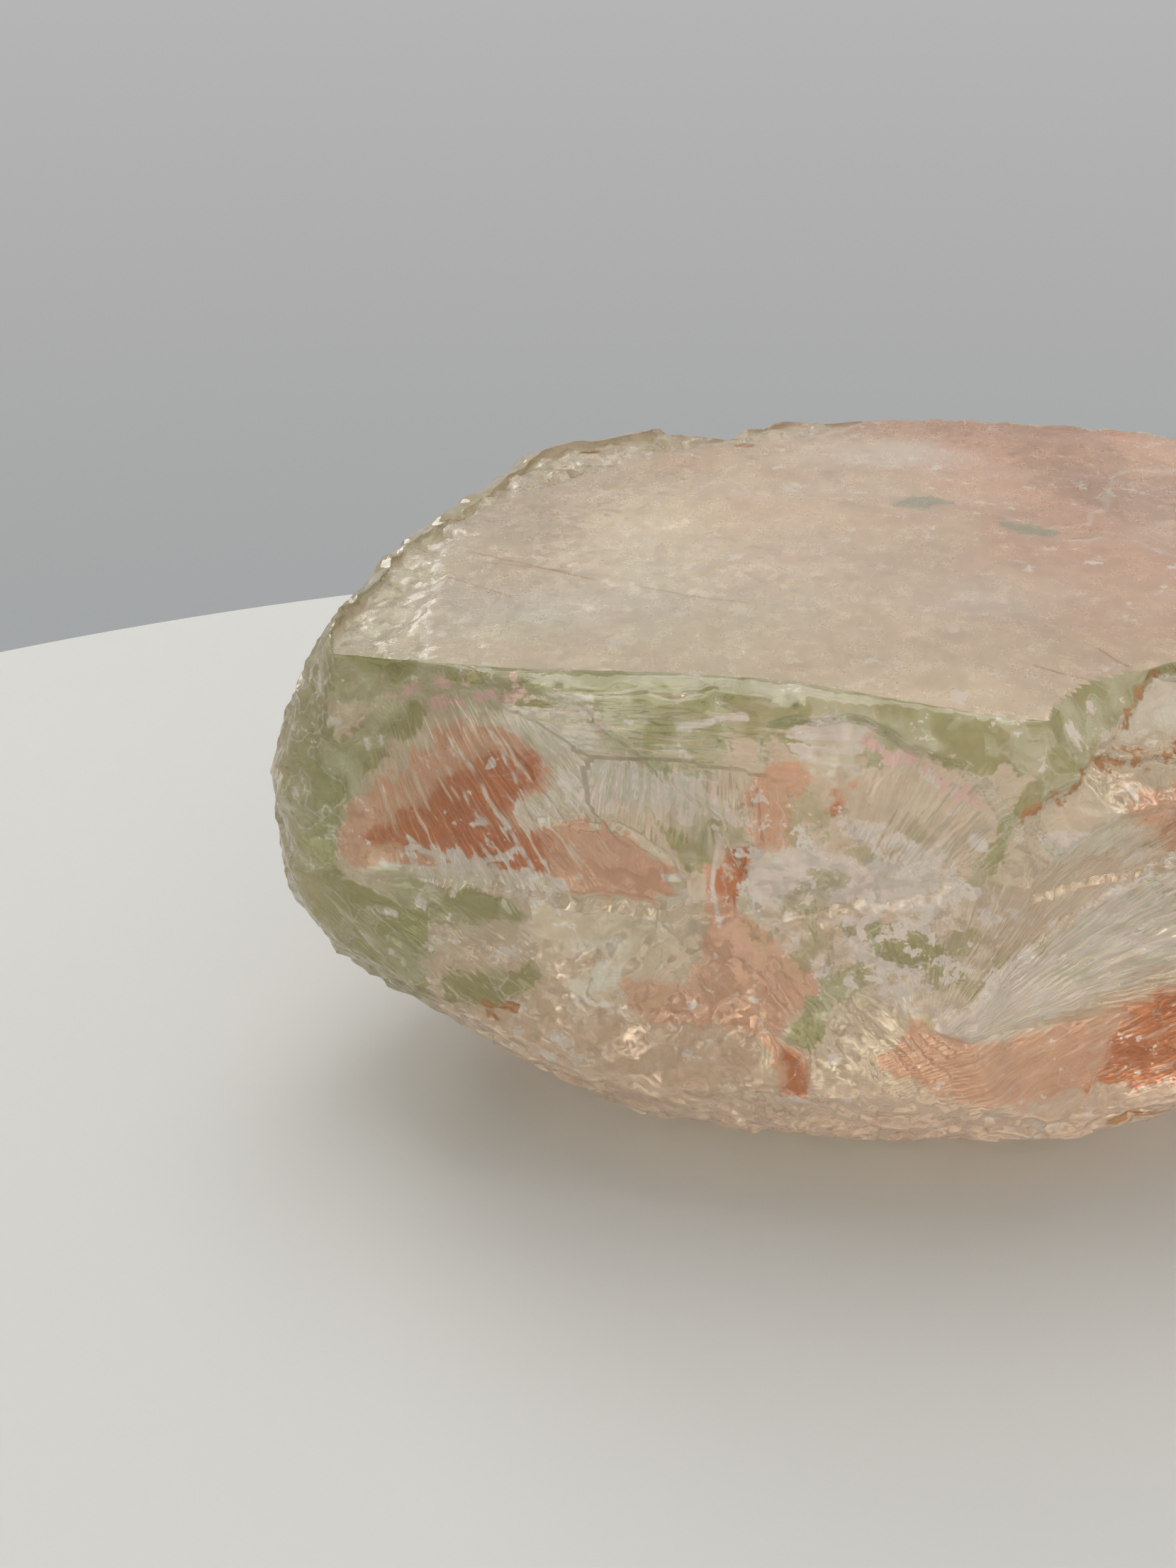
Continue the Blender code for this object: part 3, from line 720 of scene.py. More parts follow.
def deepest(flat, outlines):
    """The largest depth inside any of the outlines."""
    return np.max([depth_inside(flat, corners) for corners in outlines], axis=0)


def nearest_line(flat, lines):
    """How far each point lies inside the nearest of the lines with a width."""
    return np.max([half - to_line(flat, corners) for half, corners in lines], axis=0)


def surface_regions(points, down, crystal, bowls):
    """Where the stone is etched, glassy, crumbled or at the front, each 0 to 1."""
    x, y, z = points.T
    edge_drop = top_height(x, y) - z
    top = np.where(down <= 1.0, 1.0 - smooth_step(0.30, 0.50, edge_drop), 0.0)
    top = np.where(bowls[1] > 0.05, 0.0, top)
    prism = smooth_step(0.02, 0.08, crystal) * smooth_step(8.0, 10.0, y)
    etched = np.clip(np.maximum(top, 0.85 * prism), 0.0, 1.0)
    front = smooth_step(-9.0, -12.5, y) * (1.0 - top)
    ragged = 0.7 * grain(points, 2.4, 61) + 0.3 * grain(points, 0.9, 62)
    left_rim = smooth_step(0.5, -0.5, x + 26.9 + 0.13 * (21.0 - z) + ragged) * (1.0 - top)
    underside = smooth_step(10.5, 5.0, z + ragged)
    left_end = smooth_step(-19.0, -25.0, x + 2.0 * ragged) * (1.0 - top)
    flat = points[:, [0, 2]]
    low_left = zone_cover(flat, (-22.5, 11.5), (8.5, 3.8), -22.0) * front
    sparkle = np.maximum(
        zone_cover(flat, (-2.0, 18.6), (7.0, 4.6), -30.0), zone_cover(flat, (3.9, 14.0), (3.4, 1.5), 40.0),
    ) * front
    elsewhere = (1.0 - front) * (1.0 - etched)
    patchy = smooth_step(-0.1, 0.5, layered_grain(points, 9.0, 71))
    crumbled = np.maximum.reduce([
        0.75 * left_rim, 0.55 * underside, 0.6 * low_left, 0.6 * sparkle, 0.7 * elsewhere * patchy,
    ])
    crumbled = np.clip(crumbled * (1.0 - etched), 0.0, 1.0)
    level = points[:, [0, 1]] - (BOX_X, BOX_Y)
    margin = smooth_step(-0.3, 0.3, depth_inside(level, SHELVES[2][1]) + 0.6 * ragged) * top
    busy = np.maximum.reduce([
        left_rim, 0.9 * sparkle, 0.8 * low_left, 0.55 * underside, 0.45 * elsewhere, 0.9 * margin,
        0.45 * front * smooth_step(-0.5, 0.6, grain(points, 4.0, 64)),
    ])
    return {
        "margin": margin, "busy": busy, "left_end": left_end,
        "soft": (1.0 - np.maximum(front, top)) * (1.0 - 0.5 * left_end),
        "pitted": etched * (0.35 + 0.65 * smooth_step(5.0, -14.0, x)),
        "top": top, "etched": etched, "front": front, "crumbled": crumbled,
        "edge_drop": edge_drop, "sparkle": sparkle, "left_rim": left_rim,
        "underside": underside, "elsewhere": elsewhere, "low_left": low_left,
    }


# fans of ribs on the front: strike point (x, height), middle, half widths and strength
FANS = (
    ((-32.0, 46.0), (-19.6, 21.6), (5.6, 5.4), 1.0),
    ((-10.5, 60.0), (-11.6, 22.8), (5.2, 2.4), 0.9),
    ((1.0, 11.0), (9.0, 16.4), (9.0, 5.4), 1.0),
    ((-8.0, 8.0), (0.6, 23.0), (4.2, 2.6), 0.8),
    ((-70.0, 26.6), (-13.0, 26.0), (9.0, 1.7), 0.7),
    ((-58.0, 40.0), (-25.0, 12.6), (6.5, 3.4), 0.8),
    ((-40.0, -8.0), (10.0, 9.0), (10.0, 3.4), 0.5),
)


def comb_lines(points, front):
    """Place across and along the nearest fan of ribs in mm, and how strong it is.

    Across is the bearing from the strike point times the distance to the
    fan's middle; along is the distance from the strike point.
    """
    flat = points[:, [0, 2]]
    across = np.zeros(len(points))
    along = np.zeros(len(points))
    strongest = np.zeros(len(points))
    for strike, middle, half_widths, strength in FANS:
        offset = flat - np.asarray(strike)
        usual = math.hypot(middle[0] - strike[0], middle[1] - strike[1])
        bearing = np.arctan2(offset[:, 1], offset[:, 0]) * usual
        cover = strength * zone_cover(flat, middle, half_widths) * front
        here = cover > strongest
        across = np.where(here, bearing, across)
        along = np.where(here, np.hypot(offset[:, 0], offset[:, 1]), along)
        strongest = np.where(here, cover, strongest)
    return across, along, strongest


def surface_relief(points, down, regions, combs, shape):
    """Height in mm that the fine surface stands out from the cut stone.

    Shell ripples are sines of the distance from a strike point, ribs are sharp
    crests by direction from a strike point, crumbs are small tilted planes, a
    scar is a step at its outline that fades inward, terraces are whole steps
    of a layered grain, and the etched face has a low layered grain.
    """
    ripple = shape.ripple_height / MM
    rib = shape.rib_height / MM
    crumb = shape.crumb_height / MM
    etch = shape.etch_height / MM
    terrace = shape.terrace_height / MM
    front = regions["front"]
    glassy = (1.0 - regions["etched"]) * (1.0 - regions["crumbled"])
    relief = np.zeros(len(points))
    warp = grain(points, 3.5, 31) * 0.8 + grain(points, 1.3, 32) * 0.25

    # shell ripples: strike point, distance between crests in mm and strength
    strikes = (
        ((-29.0, -14.0, 28.0), 1.55, 1.0),
        ((17.0, -22.0, 27.0), 1.3, 1.3),
        ((24.0, 12.0, 30.0), 1.7, 1.0),
        ((-20.0, 16.0, 4.0), 1.8, 1.0),
    )
    reach = np.stack([np.linalg.norm(points - np.asarray(spot), axis=1) for spot, _, _ in strikes])
    first = reach.argmin(axis=0)
    for index, (_, pitch, strength) in enumerate(strikes):
        wave = np.sin((reach[index] + warp) * (2.0 * math.pi / pitch))
        gentle = 0.5 + 0.5 * grain(points, 5.0, 33 + index)
        relief += np.where(first == index, ripple * strength * wave * gentle * glassy, 0.0)

    across, _, cover = combs
    crest = np.abs(np.sin((across + 0.25 * warp) * (math.pi / 1.1)))
    broken = smooth_step(-0.4, 0.4, grain(points, 1.8, 51))
    relief += rib * cover * (1.0 - smooth_step(0.0, 0.5, 1.0 - crest)) * broken

    seen = points - (BOX_X, BOX_Y, 0.0)
    flat = seen[:, [0, 2]]
    jitter = 0.28 * grain_arrows(points, 1.4, 55, 2) + 0.14 * grain_arrows(points, 0.6, 57, 2)
    for depth, corners in SCARS:
        inside = depth_inside(flat + jitter, corners)
        step = smooth_step(-0.10, 0.30, inside) * (1.0 - 0.65 * smooth_step(0.3, 5.0, inside))
        relief -= depth * step * front
    level = seen[:, [0, 1]]
    for depth, corners in SHELVES:
        inside = depth_inside(level + 1.4 * jitter, corners)
        relief -= depth * smooth_step(-0.15, 0.35, inside) * regions["top"]
        relief -= 0.5 * depth * smooth_step(0.0, 2.0, inside) * regions["top"]
    relief += 0.28 * regions["margin"] * crumbs(points, 1.6, 84)

    big = crumbs(points, 3.4, 81)
    small = crumbs(points + 0.15 * warp[:, None], 1.5, 82)
    fine = crumbs(points, 0.85, 83)
    calm = 1.0 - 0.45 * regions["left_rim"]
    relief += crumb * regions["crumbled"] * calm * (0.5 * big + 0.5 * small + 0.25 * fine - 0.2)
    relief += 0.14 * crumb * glassy * big

    stepped = 2.6 * layered_grain(points, 9.0, 86, 3)
    part = stepped - np.floor(stepped)
    ledges = np.floor(stepped) + smooth_step(0.80, 1.0, part) - stepped
    steps_here = np.clip(regions["elsewhere"] + 0.5 * regions["underside"], 0.0, 1.0)
    relief += terrace * steps_here * (ledges + 0.5) * (1.0 - regions["etched"])

    relief += etch * regions["etched"] * layered_grain(points, 2.4, 91, 3)
    nearby = smooth_step(0.0, 0.35, regions["edge_drop"]) * smooth_step(2.4, 0.6, regions["edge_drop"])
    relief += 0.10 * nearby * grain(points, 1.2, 95)
    settle = smooth_step(2.0, 1.86, down)
    return relief * settle


def make_mesh(name, points, spokes):
    """A closed mesh from rings of points with a pole at each end.

    points holds the first pole, then the rings one after another, then the
    last pole. Faces are whole index arrays: a fan, bands of squares, a fan.
    """
    rings = (len(points) - 2) // spokes
    grid = np.arange(rings * spokes).reshape(rings, spokes) + 1
    turned = np.roll(grid, -1, axis=1)
    top = np.stack([np.zeros(spokes, int), grid[0], turned[0]], axis=1)
    last = np.full(spokes, len(points) - 1)
    low = np.stack([last, turned[-1], grid[-1]], axis=1)
    quads = np.stack([grid[:-1], grid[1:], turned[1:], turned[:-1]], axis=-1).reshape(-1, 4)
    corners = np.concatenate([top.ravel(), quads.ravel(), low.ravel()])
    sizes = np.concatenate([np.full(spokes, 3), np.full(len(quads), 4), np.full(spokes, 3)])
    starts = np.concatenate([[0], np.cumsum(sizes)[:-1]])
    mesh = bpy.data.meshes.new(name)
    mesh.vertices.add(len(points))
    mesh.vertices.foreach_set("co", points.astype(np.float32).ravel())
    mesh.loops.add(len(corners))
    mesh.loops.foreach_set("vertex_index", corners.astype(np.int32))
    mesh.polygons.add(len(sizes))
    mesh.polygons.foreach_set("loop_start", starts.astype(np.int32))
    mesh.polygons.foreach_set("loop_total", sizes.astype(np.int32))
    mesh.update(calc_edges=True)
    mesh.validate()
    return mesh


def edge_value(depth):
    """Depth inside an outline as 0 to 1, with 0.5 on it and the stored reach at the ends."""
    return 0.5 + np.clip(depth, -EDGE_REACH, EDGE_REACH) / (2.0 * EDGE_REACH)


def paint_stone(points, regions, finish):
    """Base colour, roughness and signed edges of every colour patch.

    On the front a patch is the depth inside its outlines; elsewhere it is a
    layered grain, so the same colours run round the stone. The shader cuts
    each edge crisply and makes it ragged.
    """
    sand, face, blush, mint, milky = (
        np.array(getattr(finish, word)) for word in ("sand", "face", "blush", "mint", "cloud")
    )
    warp = grain_arrows(points, 2.2, 101)
    fine = grain_arrows(points, 0.8, 111)
    ragged = points + 0.35 * warp + 0.22 * fine
    flat = ragged[:, [0, 2]]
    front = regions["front"]
    top = regions["top"]
    wide = layered_grain(points, 10.0, 121, 3)
    other = layered_grain(points, 8.0, 125, 3)
    third = layered_grain(points, 6.0, 129, 3)

    def flank(on_front, elsewhere=-EDGE_REACH):
        """Depth on the front blended into the depth elsewhere, and outside on the top."""
        return blended(top, blended(front, elsewhere, on_front), -EDGE_REACH)

    band = 1.9 - regions["edge_drop"] + 0.5 * warp[:, 0] + 0.25 * fine[:, 0]
    rim = EDGE_REACH * (2.0 * regions["left_rim"] - 1.0)
    low_rim = EDGE_REACH * (2.0 * regions["low_left"] - 1.0) * smooth_step(-22.0, -25.0, flat[:, 0])
    green_front = np.maximum.reduce([deepest(flat, GREEN_ZONES), band, rim, low_rim - 0.5])
    left_end = 4.0 * regions["left_end"]
    # bright joins the stone's own pale crack lines with the painted glints, white spots standing in for
    # highlights
    bright = np.maximum(nearest_line(points[:, [0, 2]], PALE_LINES), nearest_line(flat, PAINTED_GLINTS))
    level = ragged[:, [0, 1]]

    def marks(table):
        """Depth inside ovals on the top: the shorter half size times 1 - distance."""
        sizes = [
            min(half) * (1.0 - np.hypot(*((level - middle) / half).T)) for half, middle in table
        ]
        return blended(top, -EDGE_REACH, np.max(sizes, axis=0))

    shelf = [depth_inside(points[:, [0, 1]] + 0.5 * fine[:, :2], corners) for _, corners in SHELVES]
    depths = {
        "green_edge": flank(green_front, 6.0 * (other - 0.12) + left_end),
        "salmon_edge": flank(deepest(flat, SALMON_ZONES), 6.0 * (wide - 0.22) - left_end),
        "deep_edge": flank(deepest(flat, DEEP_ZONES), 6.0 * (wide - 0.75)),
        "pale_edge": flank(deepest(flat, PALE_ZONES), 6.0 * (third - 0.65)),
        "rose_edge": flank(nearest_line(flat, ROSE_LINES)),
        "bright_edge": flank(bright),
        "dark_edge": marks(DARK_MARKS),
        "rust_edge": np.maximum(flank(nearest_line(flat, RUST_LINES)), marks(BROWN_MARKS)),
        "shelf_edge": blended(top, -EDGE_REACH, np.max(shelf, axis=0)),
    }
    edges = {name: edge_value(depth) for name, depth in depths.items()}

    def wash(share, first, second):
        """The second colour over the first, by a share at each point."""
        return blended(share[:, None], first, second)

    colour = wash(0.35 * smooth_step(-0.5, 0.6, other), sand, mint)
    colour = wash(0.3 * smooth_step(-0.3, 0.4, wide), colour, blush)
    rise = points[:, 2] - 0.25 * points[:, 0] + 4.0 * warp[:, 1]
    colour = wash(0.5 * front * smooth_step(12.0, 22.0, rise), colour, 0.6 * mint + 0.4 * sand)
    colour = wash(0.75 * regions["underside"], colour, 0.45 * face + 0.55 * blush)

    rosy = points[:, 0] + 0.9 * points[:, 1] + 4.0 * warp[:, 0] + 6.0 * wide
    plate = wash(smooth_step(-14.0, 22.0, rosy), face, blush)
    soft = points[:, [0, 1]] + 1.2 * warp[:, :2]
    for half, middle, strength in CLOUDS:
        spread = np.hypot(*((soft - middle) / half).T)
        plate = wash(strength * np.exp(-spread**2), plate, milky)
    plate = plate * (1.0 + 0.10 * third[:, None])
    colour = wash(np.maximum(top, 0.8 * regions["etched"]), colour, plate)
    colour = wash(0.7 * regions["margin"], colour, 0.5 * mint + 0.5 * face)

    rough = finish.glassy + 0.10 * regions["crumbled"]
    rough = blended(regions["etched"], rough, finish.frosted)
    return np.clip(colour, 0.0, 1.0), np.clip(rough, 0.02, 1.0), edges


def write_attribute(mesh, name, kind, values):
    """Store one value, arrow or colour for each point of a mesh."""
    layer = mesh.attributes.new(name, kind, "POINT")
    if kind == "FLOAT_COLOR":
        values = np.concatenate([values, np.ones((len(values), 1))], axis=1)
    field = {"FLOAT_COLOR": "color", "FLOAT_VECTOR": "vector", "FLOAT": "value"}[kind]
    layer.data.foreach_set(field, values.astype(np.float32).ravel())


class NodeBench:
    """Short ways to lay out and join shader nodes."""

    def __init__(self, tree):
        self.tree = tree

    def add(self, kind, **settings):
        node = self.tree.nodes.new(kind)
        for key, value in settings.items():
            setattr(node, key, value)
        return node

    def join(self, source, target):
        self.tree.links.new(source, target)

    def put(self, value, socket):
        """Link a socket, or set a number, arrow or colour on it."""
        if isinstance(value, bpy.types.NodeSocket):
            self.join(value, socket)
        elif isinstance(value, (int, float)):
            socket.default_value = value
        else:
            size = len(socket.default_value)
            socket.default_value = (*value, 1.0)[:size]

    def math(self, operation, first, second):
        """A sum, product or other operation on two values."""
        node = self.add("ShaderNodeMath", operation=operation)
        self.put(first, node.inputs[0])
        self.put(second, node.inputs[1])
        return node.outputs[0]

    def times(self, first, second):
        """The product of two values."""
        return self.math("MULTIPLY", first, second)

    def vector_math(self, operation, first, second):
        """An operation on two arrows, which gives an arrow, or a value for a dot product."""
        node = self.add("ShaderNodeVectorMath", operation=operation)
        self.put(first, node.inputs[0])
        self.put(second, node.inputs[1])
        return node.outputs["Value"] if operation == "DOT_PRODUCT" else node.outputs["Vector"]

    def value_of(self, name, output="Fac"):
        """What the surface stores under a name, as a value, Color or Vector."""
        return self.add("ShaderNodeAttribute", attribute_name=name).outputs[output]

    def noise(self, where, scale, detail, roughness=0.5):
        """Layered noise from 0 to 1."""
        node = self.add("ShaderNodeTexNoise")
        self.join(where, node.inputs["Vector"])
        node.inputs["Scale"].default_value = scale
        node.inputs["Detail"].default_value = detail
        node.inputs["Roughness"].default_value = roughness
        return node.outputs["Fac"]

    def blend_sum(self, parts, start=0.0):
        """Start plus every value times its share."""
        total = start
        for value, share in parts:
            node = self.add("ShaderNodeMath", operation="MULTIPLY_ADD")
            self.put(value, node.inputs[0])
            self.put(share, node.inputs[1])
            self.put(total, node.inputs[2])
            total = node.outputs[0]
        return total

    def centred(self, value):
        """A value from 0 to 1 moved to run from -0.5 to 0.5."""
        return self.math("SUBTRACT", value, 0.5)

    def ramped(self, value, low, high):
        """0 below low, 1 above high, with a smooth step between."""
        node = self.add("ShaderNodeMapRange", interpolation_type="SMOOTHSTEP")
        self.put(value, node.inputs["Value"])
        self.put(low, node.inputs["From Min"])
        self.put(high, node.inputs["From Max"])
        return node.outputs[0]

    def near_zero(self, value, low, high):
        """1 where a value is within low of 0, 0 beyond high, with a smooth step between."""
        size = self.math("ABSOLUTE", value, 0.0)
        return self.math("SUBTRACT", 1.0, self.ramped(size, low, high))

    def cut_edge(self, name, wander, softness, blur=0.0):
        """1 inside a stored patch, 0 outside, with its edge moved by wander.

        Softness is half the width of the edge, and blur is added to it.
        """
        moved = self.math("ADD", self.value_of(name), wander)
        high = self.math("ADD", blur, 0.5 + softness)
        low = self.math("SUBTRACT", 0.5 - softness, blur)
        return self.ramped(moved, low, high)

    def mix(self, share, first, second):
        """Share of the second colour over the first."""
        node = self.add("ShaderNodeMix", data_type="RGBA")
        self.put(share, node.inputs["Factor"])
        self.put(first, node.inputs[6])
        self.put(second, node.inputs[7])
        return node.outputs[2]

    def facets(self, where, scale):
        """Height of small planes, each tilted its own way: offset . (cell colour - 0.5)."""
        cells = self.add("ShaderNodeTexVoronoi", feature="F1")
        self.join(where, cells.inputs["Vector"])
        cells.inputs["Scale"].default_value = scale
        offset = self.vector_math("SUBTRACT", where, cells.outputs["Position"])
        grown = self.vector_math("MULTIPLY", offset, (scale, scale, scale))
        tilt = self.vector_math("SUBTRACT", cells.outputs["Color"], (0.5, 0.5, 0.5))
        return self.vector_math("DOT_PRODUCT", grown, tilt)

    def segment(self, where, start, end, half_width):
        """1 on a straight line seen from above, from start to end in stone mm."""
        first = np.array([start[0], start[1], 0.0]) * MM
        last = np.array([end[0], end[1], 0.0]) * MM
        length = float(np.linalg.norm(last - first))
        run = (last - first) / length
        side = np.array([-run[1], run[0], 0.0])
        offset = self.vector_math("SUBTRACT", where, tuple((first + last) / 2.0))
        along = self.vector_math("DOT_PRODUCT", offset, tuple(run))
        across = self.vector_math("DOT_PRODUCT", offset, tuple(side))
        on_line = self.near_zero(across, 0.4 * half_width * MM, 1.2 * half_width * MM)
        return self.times(on_line, self.near_zero(along, 0.40 * length, 0.5 * length))

    def bump(self, height, distance, strength):
        """Shading tilted by the slope of a height, which is counted in distance."""
        node = self.add("ShaderNodeBump")
        node.inputs["Strength"].default_value = strength
        node.inputs["Distance"].default_value = distance
        self.join(height, node.inputs["Height"])
        return node.outputs[0]


def beryl_material(finish):
    """Clear crystal: crisp ragged colour patches, etched bumps and fine breaks."""
    material = bpy.data.materials.new("beryl_crystal")
    material.use_nodes = True
    tree = material.node_tree
    tree.nodes.clear()
    bench = NodeBench(tree)
    output = bench.add("ShaderNodeOutputMaterial")
    shader = bench.add("ShaderNodeBsdfPrincipled")
    bench.join(shader.outputs[0], output.inputs["Surface"])
    shader.inputs["Metallic"].default_value = 0.0
    shader.inputs["IOR"].default_value = IOR
    shader.inputs["Transmission Weight"].default_value = CLEARNESS

    haze = bench.add("ShaderNodeVolumeAbsorption")
    haze.inputs["Color"].default_value = HAZE_COLOUR
    haze.inputs["Density"].default_value = HAZE_DENSITY
    bench.join(haze.outputs[0], output.inputs["Volume"])

    where = bench.add("ShaderNodeTexCoord").outputs["Object"]
    etched = bench.value_of("etched")
    crumbled = bench.value_of("crumbled")
    sparkle = bench.value_of("sparkle")
    busy = bench.value_of("busy")
    comb = bench.value_of("comb", "Vector")
    comb_parts = bench.add("ShaderNodeSeparateXYZ")
    bench.join(comb, comb_parts.inputs[0])
    cover = comb_parts.outputs["Z"]
    stretched = bench.vector_math("MULTIPLY", comb, (2.6, 0.30, 0.0))

    fine = bench.centred(bench.noise(where, 1000.0, 3.0, 0.70))
    broad = bench.centred(bench.noise(where, 480.0, 1.0, 0.62))
    strokes = bench.centred(bench.noise(stretched, 1.1, 1.0, 0.60))
    strokes_here = bench.times(strokes, cover)
    ragged = bench.blend_sum(((fine, 0.34), (strokes_here, 0.22)))
    torn = bench.blend_sum(((fine, 0.40), (strokes_here, 0.60)))
    tone = bench.blend_sum(((fine, 0.62), (broad, 0.34), (strokes_here, 0.30)), 1.0)

    soft = bench.value_of("soft")
    blur = bench.times(soft, 0.40)
    calm = bench.blend_sum(((soft, -0.70),), 1.0)

    def patch(name, wander, softness):
        """A patch of colour, crisp on the front, blurred and faint elsewhere."""
        return bench.times(bench.cut_edge(name, wander, softness, blur), calm)

    colour = bench.value_of("tint", "Color")
    mossy = bench.ramped(bench.blend_sum(((broad, 1.0), (busy, 0.12))), -0.10, 0.14)
    moss = bench.mix(mossy, finish.green, finish.moss)
    colour = bench.mix(patch("green_edge", ragged, 0.02), colour, moss)
    heart = bench.mix(bench.cut_edge("deep_edge", ragged, 0.05, blur), finish.salmon, finish.deep)
    colour = bench.mix(patch("salmon_edge", ragged, 0.02), colour, heart)
    veil_tone = bench.blend_sum(((strokes, 1.0), (sparkle, 0.10)))
    veil = bench.mix(bench.ramped(veil_tone, -0.10, 0.08), finish.mint, finish.white)
    colour = bench.mix(patch("pale_edge", torn, 0.03), colour, veil)
    grey = bench.times(bench.ramped(broad, 0.03, 0.12), bench.times(sparkle, 0.7))
    colour = bench.mix(grey, colour, finish.moss)

    vein = bench.near_zero(bench.blend_sum(((broad, 1.0), (fine, 0.25))), 0.004, 0.022)
    vein_share = bench.times(vein, bench.blend_sum(((busy, 0.50),), 0.06))
    colour = bench.mix(vein_share, colour, finish.white)
    shade = bench.near_zero(bench.blend_sum(((broad, 1.0), (fine, -0.3)), -0.07), 0.004, 0.020)
    shade_share = bench.times(shade, bench.blend_sum(((busy, 0.38),), 0.03))
    colour = bench.mix(shade_share, colour, finish.moss)
    # painted glints: white flecks scattered by noise, more of them on sparkling and busy places, standing
    # in for highlights
    glint_fleck_level = bench.blend_sum(((fine, 1.0), (broad, -0.4), (sparkle, 0.09), (busy, 0.035)))
    colour = bench.mix(bench.ramped(glint_fleck_level, 0.150, 0.195), colour, finish.white)
    ribs = bench.times(bench.ramped(strokes, 0.10, 0.16), bench.times(cover, 0.75))
    colour = bench.mix(ribs, colour, finish.face)
    # white over the pale crack lines and over the painted glints, which stand in for highlights
    colour = bench.mix(bench.cut_edge("bright_edge", 0.0, 0.012), colour, finish.white)
    colour = bench.mix(bench.cut_edge("rose_edge", ragged, 0.02), colour, finish.rose)
    # painted highlight: a thin white line along the edges of the shelves on the top face
    shelf_glint = bench.blend_sum(((bench.value_of("shelf_edge"), 1.0), (fine, 0.12)), -0.5)
    shelf_glint_share = bench.times(bench.near_zero(shelf_glint, 0.012, 0.035), 0.45)
    colour = bench.mix(shelf_glint_share, colour, finish.white)
    colour = bench.mix(bench.cut_edge("dark_edge", ragged, 0.03), colour, finish.dark)
    colour = bench.mix(bench.cut_edge("rust_edge", ragged, 0.02), colour, finish.rust)
    for half_width, start, end in TOP_CRACKS:
        line = bench.segment(where, start, end, half_width)
        line = bench.times(bench.times(line, etched), 0.6)
        colour = bench.mix(line, colour, finish.rust)
    scale = bench.add("ShaderNodeVectorMath", operation="SCALE")
    bench.join(colour, scale.inputs[0])
    bench.join(tone, scale.inputs["Scale"])
    bench.join(scale.outputs[0], shader.inputs["Base Color"])
    bench.join(bench.blend_sum(((bench.value_of("rough"), 1.0), (fine, 0.20))), shader.inputs["Roughness"])

    chips = bench.facets(where, 1.0 / finish.chip_pitch)
    pitted = bench.value_of("pitted")
    share = bench.blend_sum(((pitted, 0.9), (crumbled, 0.8), (busy, 0.3)), 0.05)
    swell = bench.blend_sum(((etched, -0.6), (pitted, 0.4)), 0.9)
    height = bench.blend_sum(((strokes_here, 1.7), (broad, swell)), bench.times(chips, share))
    bench.join(bench.bump(height, BUMP_HEIGHT, BUMP_STRENGTH), shader.inputs["Normal"])
    return material


class BERYL_OT_make_stone(bpy.types.Operator):
    """Work out the stone's fine surface and its see-through finish"""

    bl_idname = "beryl.make_stone"
    bl_label = "Make Stone"

    def execute(self, context):
        shape = context.scene.beryl_shape
        finish = context.scene.beryl_finish
        spokes = shape.spokes
        stops = [shape.top_rings, shape.flank_rings, shape.spot_rings]
        top = np.arange(1, stops[0] + 1) / stops[0]
        flank = 1.0 + np.arange(1, stops[1] + 1) / stops[1]
        spot = 2.0 + np.arange(1, stops[2]) / stops[2]
        levels = np.concatenate([top, flank, spot])
        turns = np.arange(spokes) * (2.0 * math.pi / spokes)
        turns = turns - FRONT_CROWDING * np.sin(turns - math.radians(FRONT_COMPASS))
        angle = np.concatenate([[0.0], np.tile(turns, len(levels)), [0.0]])
        down = np.concatenate([[0.0], np.repeat(levels, spokes), [3.0]])
        wear = shape.ridge_wear / MM
        points, way, crystal, bowls = cut_stone(uncut_stone(angle, down), wear)
        regions = surface_regions(points, down, crystal, bowls)
        combs = comb_lines(points - (BOX_X, BOX_Y, 0.0), regions["front"])
        relief = surface_relief(points, down, regions, combs, shape)
        lift = blended(regions["top"][:, None], way, np.array([0.0, 0.0, 1.0]))
        fine = points + lift * relief[:, None]
        placed = (fine - (BOX_X, BOX_Y, 0.0)) * MM
        placed = np.clip(placed, np.asarray(CAD_BOX[0]), np.asarray(CAD_BOX[1]))
        seen = placed / MM
        colour, rough, edges = paint_stone(seen, regions, finish)
        mesh = make_mesh("beryl_stone", placed, spokes)
        write_attribute(mesh, "tint", "FLOAT_COLOR", colour)
        write_attribute(mesh, "comb", "FLOAT_VECTOR", np.stack(combs, axis=1))
        write_attribute(mesh, "rough", "FLOAT", rough)
        for name in ("etched", "pitted", "crumbled", "sparkle", "busy", "soft"):
            write_attribute(mesh, name, "FLOAT", regions[name])
        for name, values in edges.items():
            write_attribute(mesh, name, "FLOAT", values)
        mesh.materials.append(beryl_material(finish))
        mesh.shade_smooth()
        mesh.set_sharp_from_angle(angle=math.radians(STONE_CREASE))
        stone = bpy.data.objects.new("beryl_stone", mesh)
        context.scene.collection.objects.link(stone)
        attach(stone, "root")
        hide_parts(CAD_NODE)
        return {"FINISHED"}


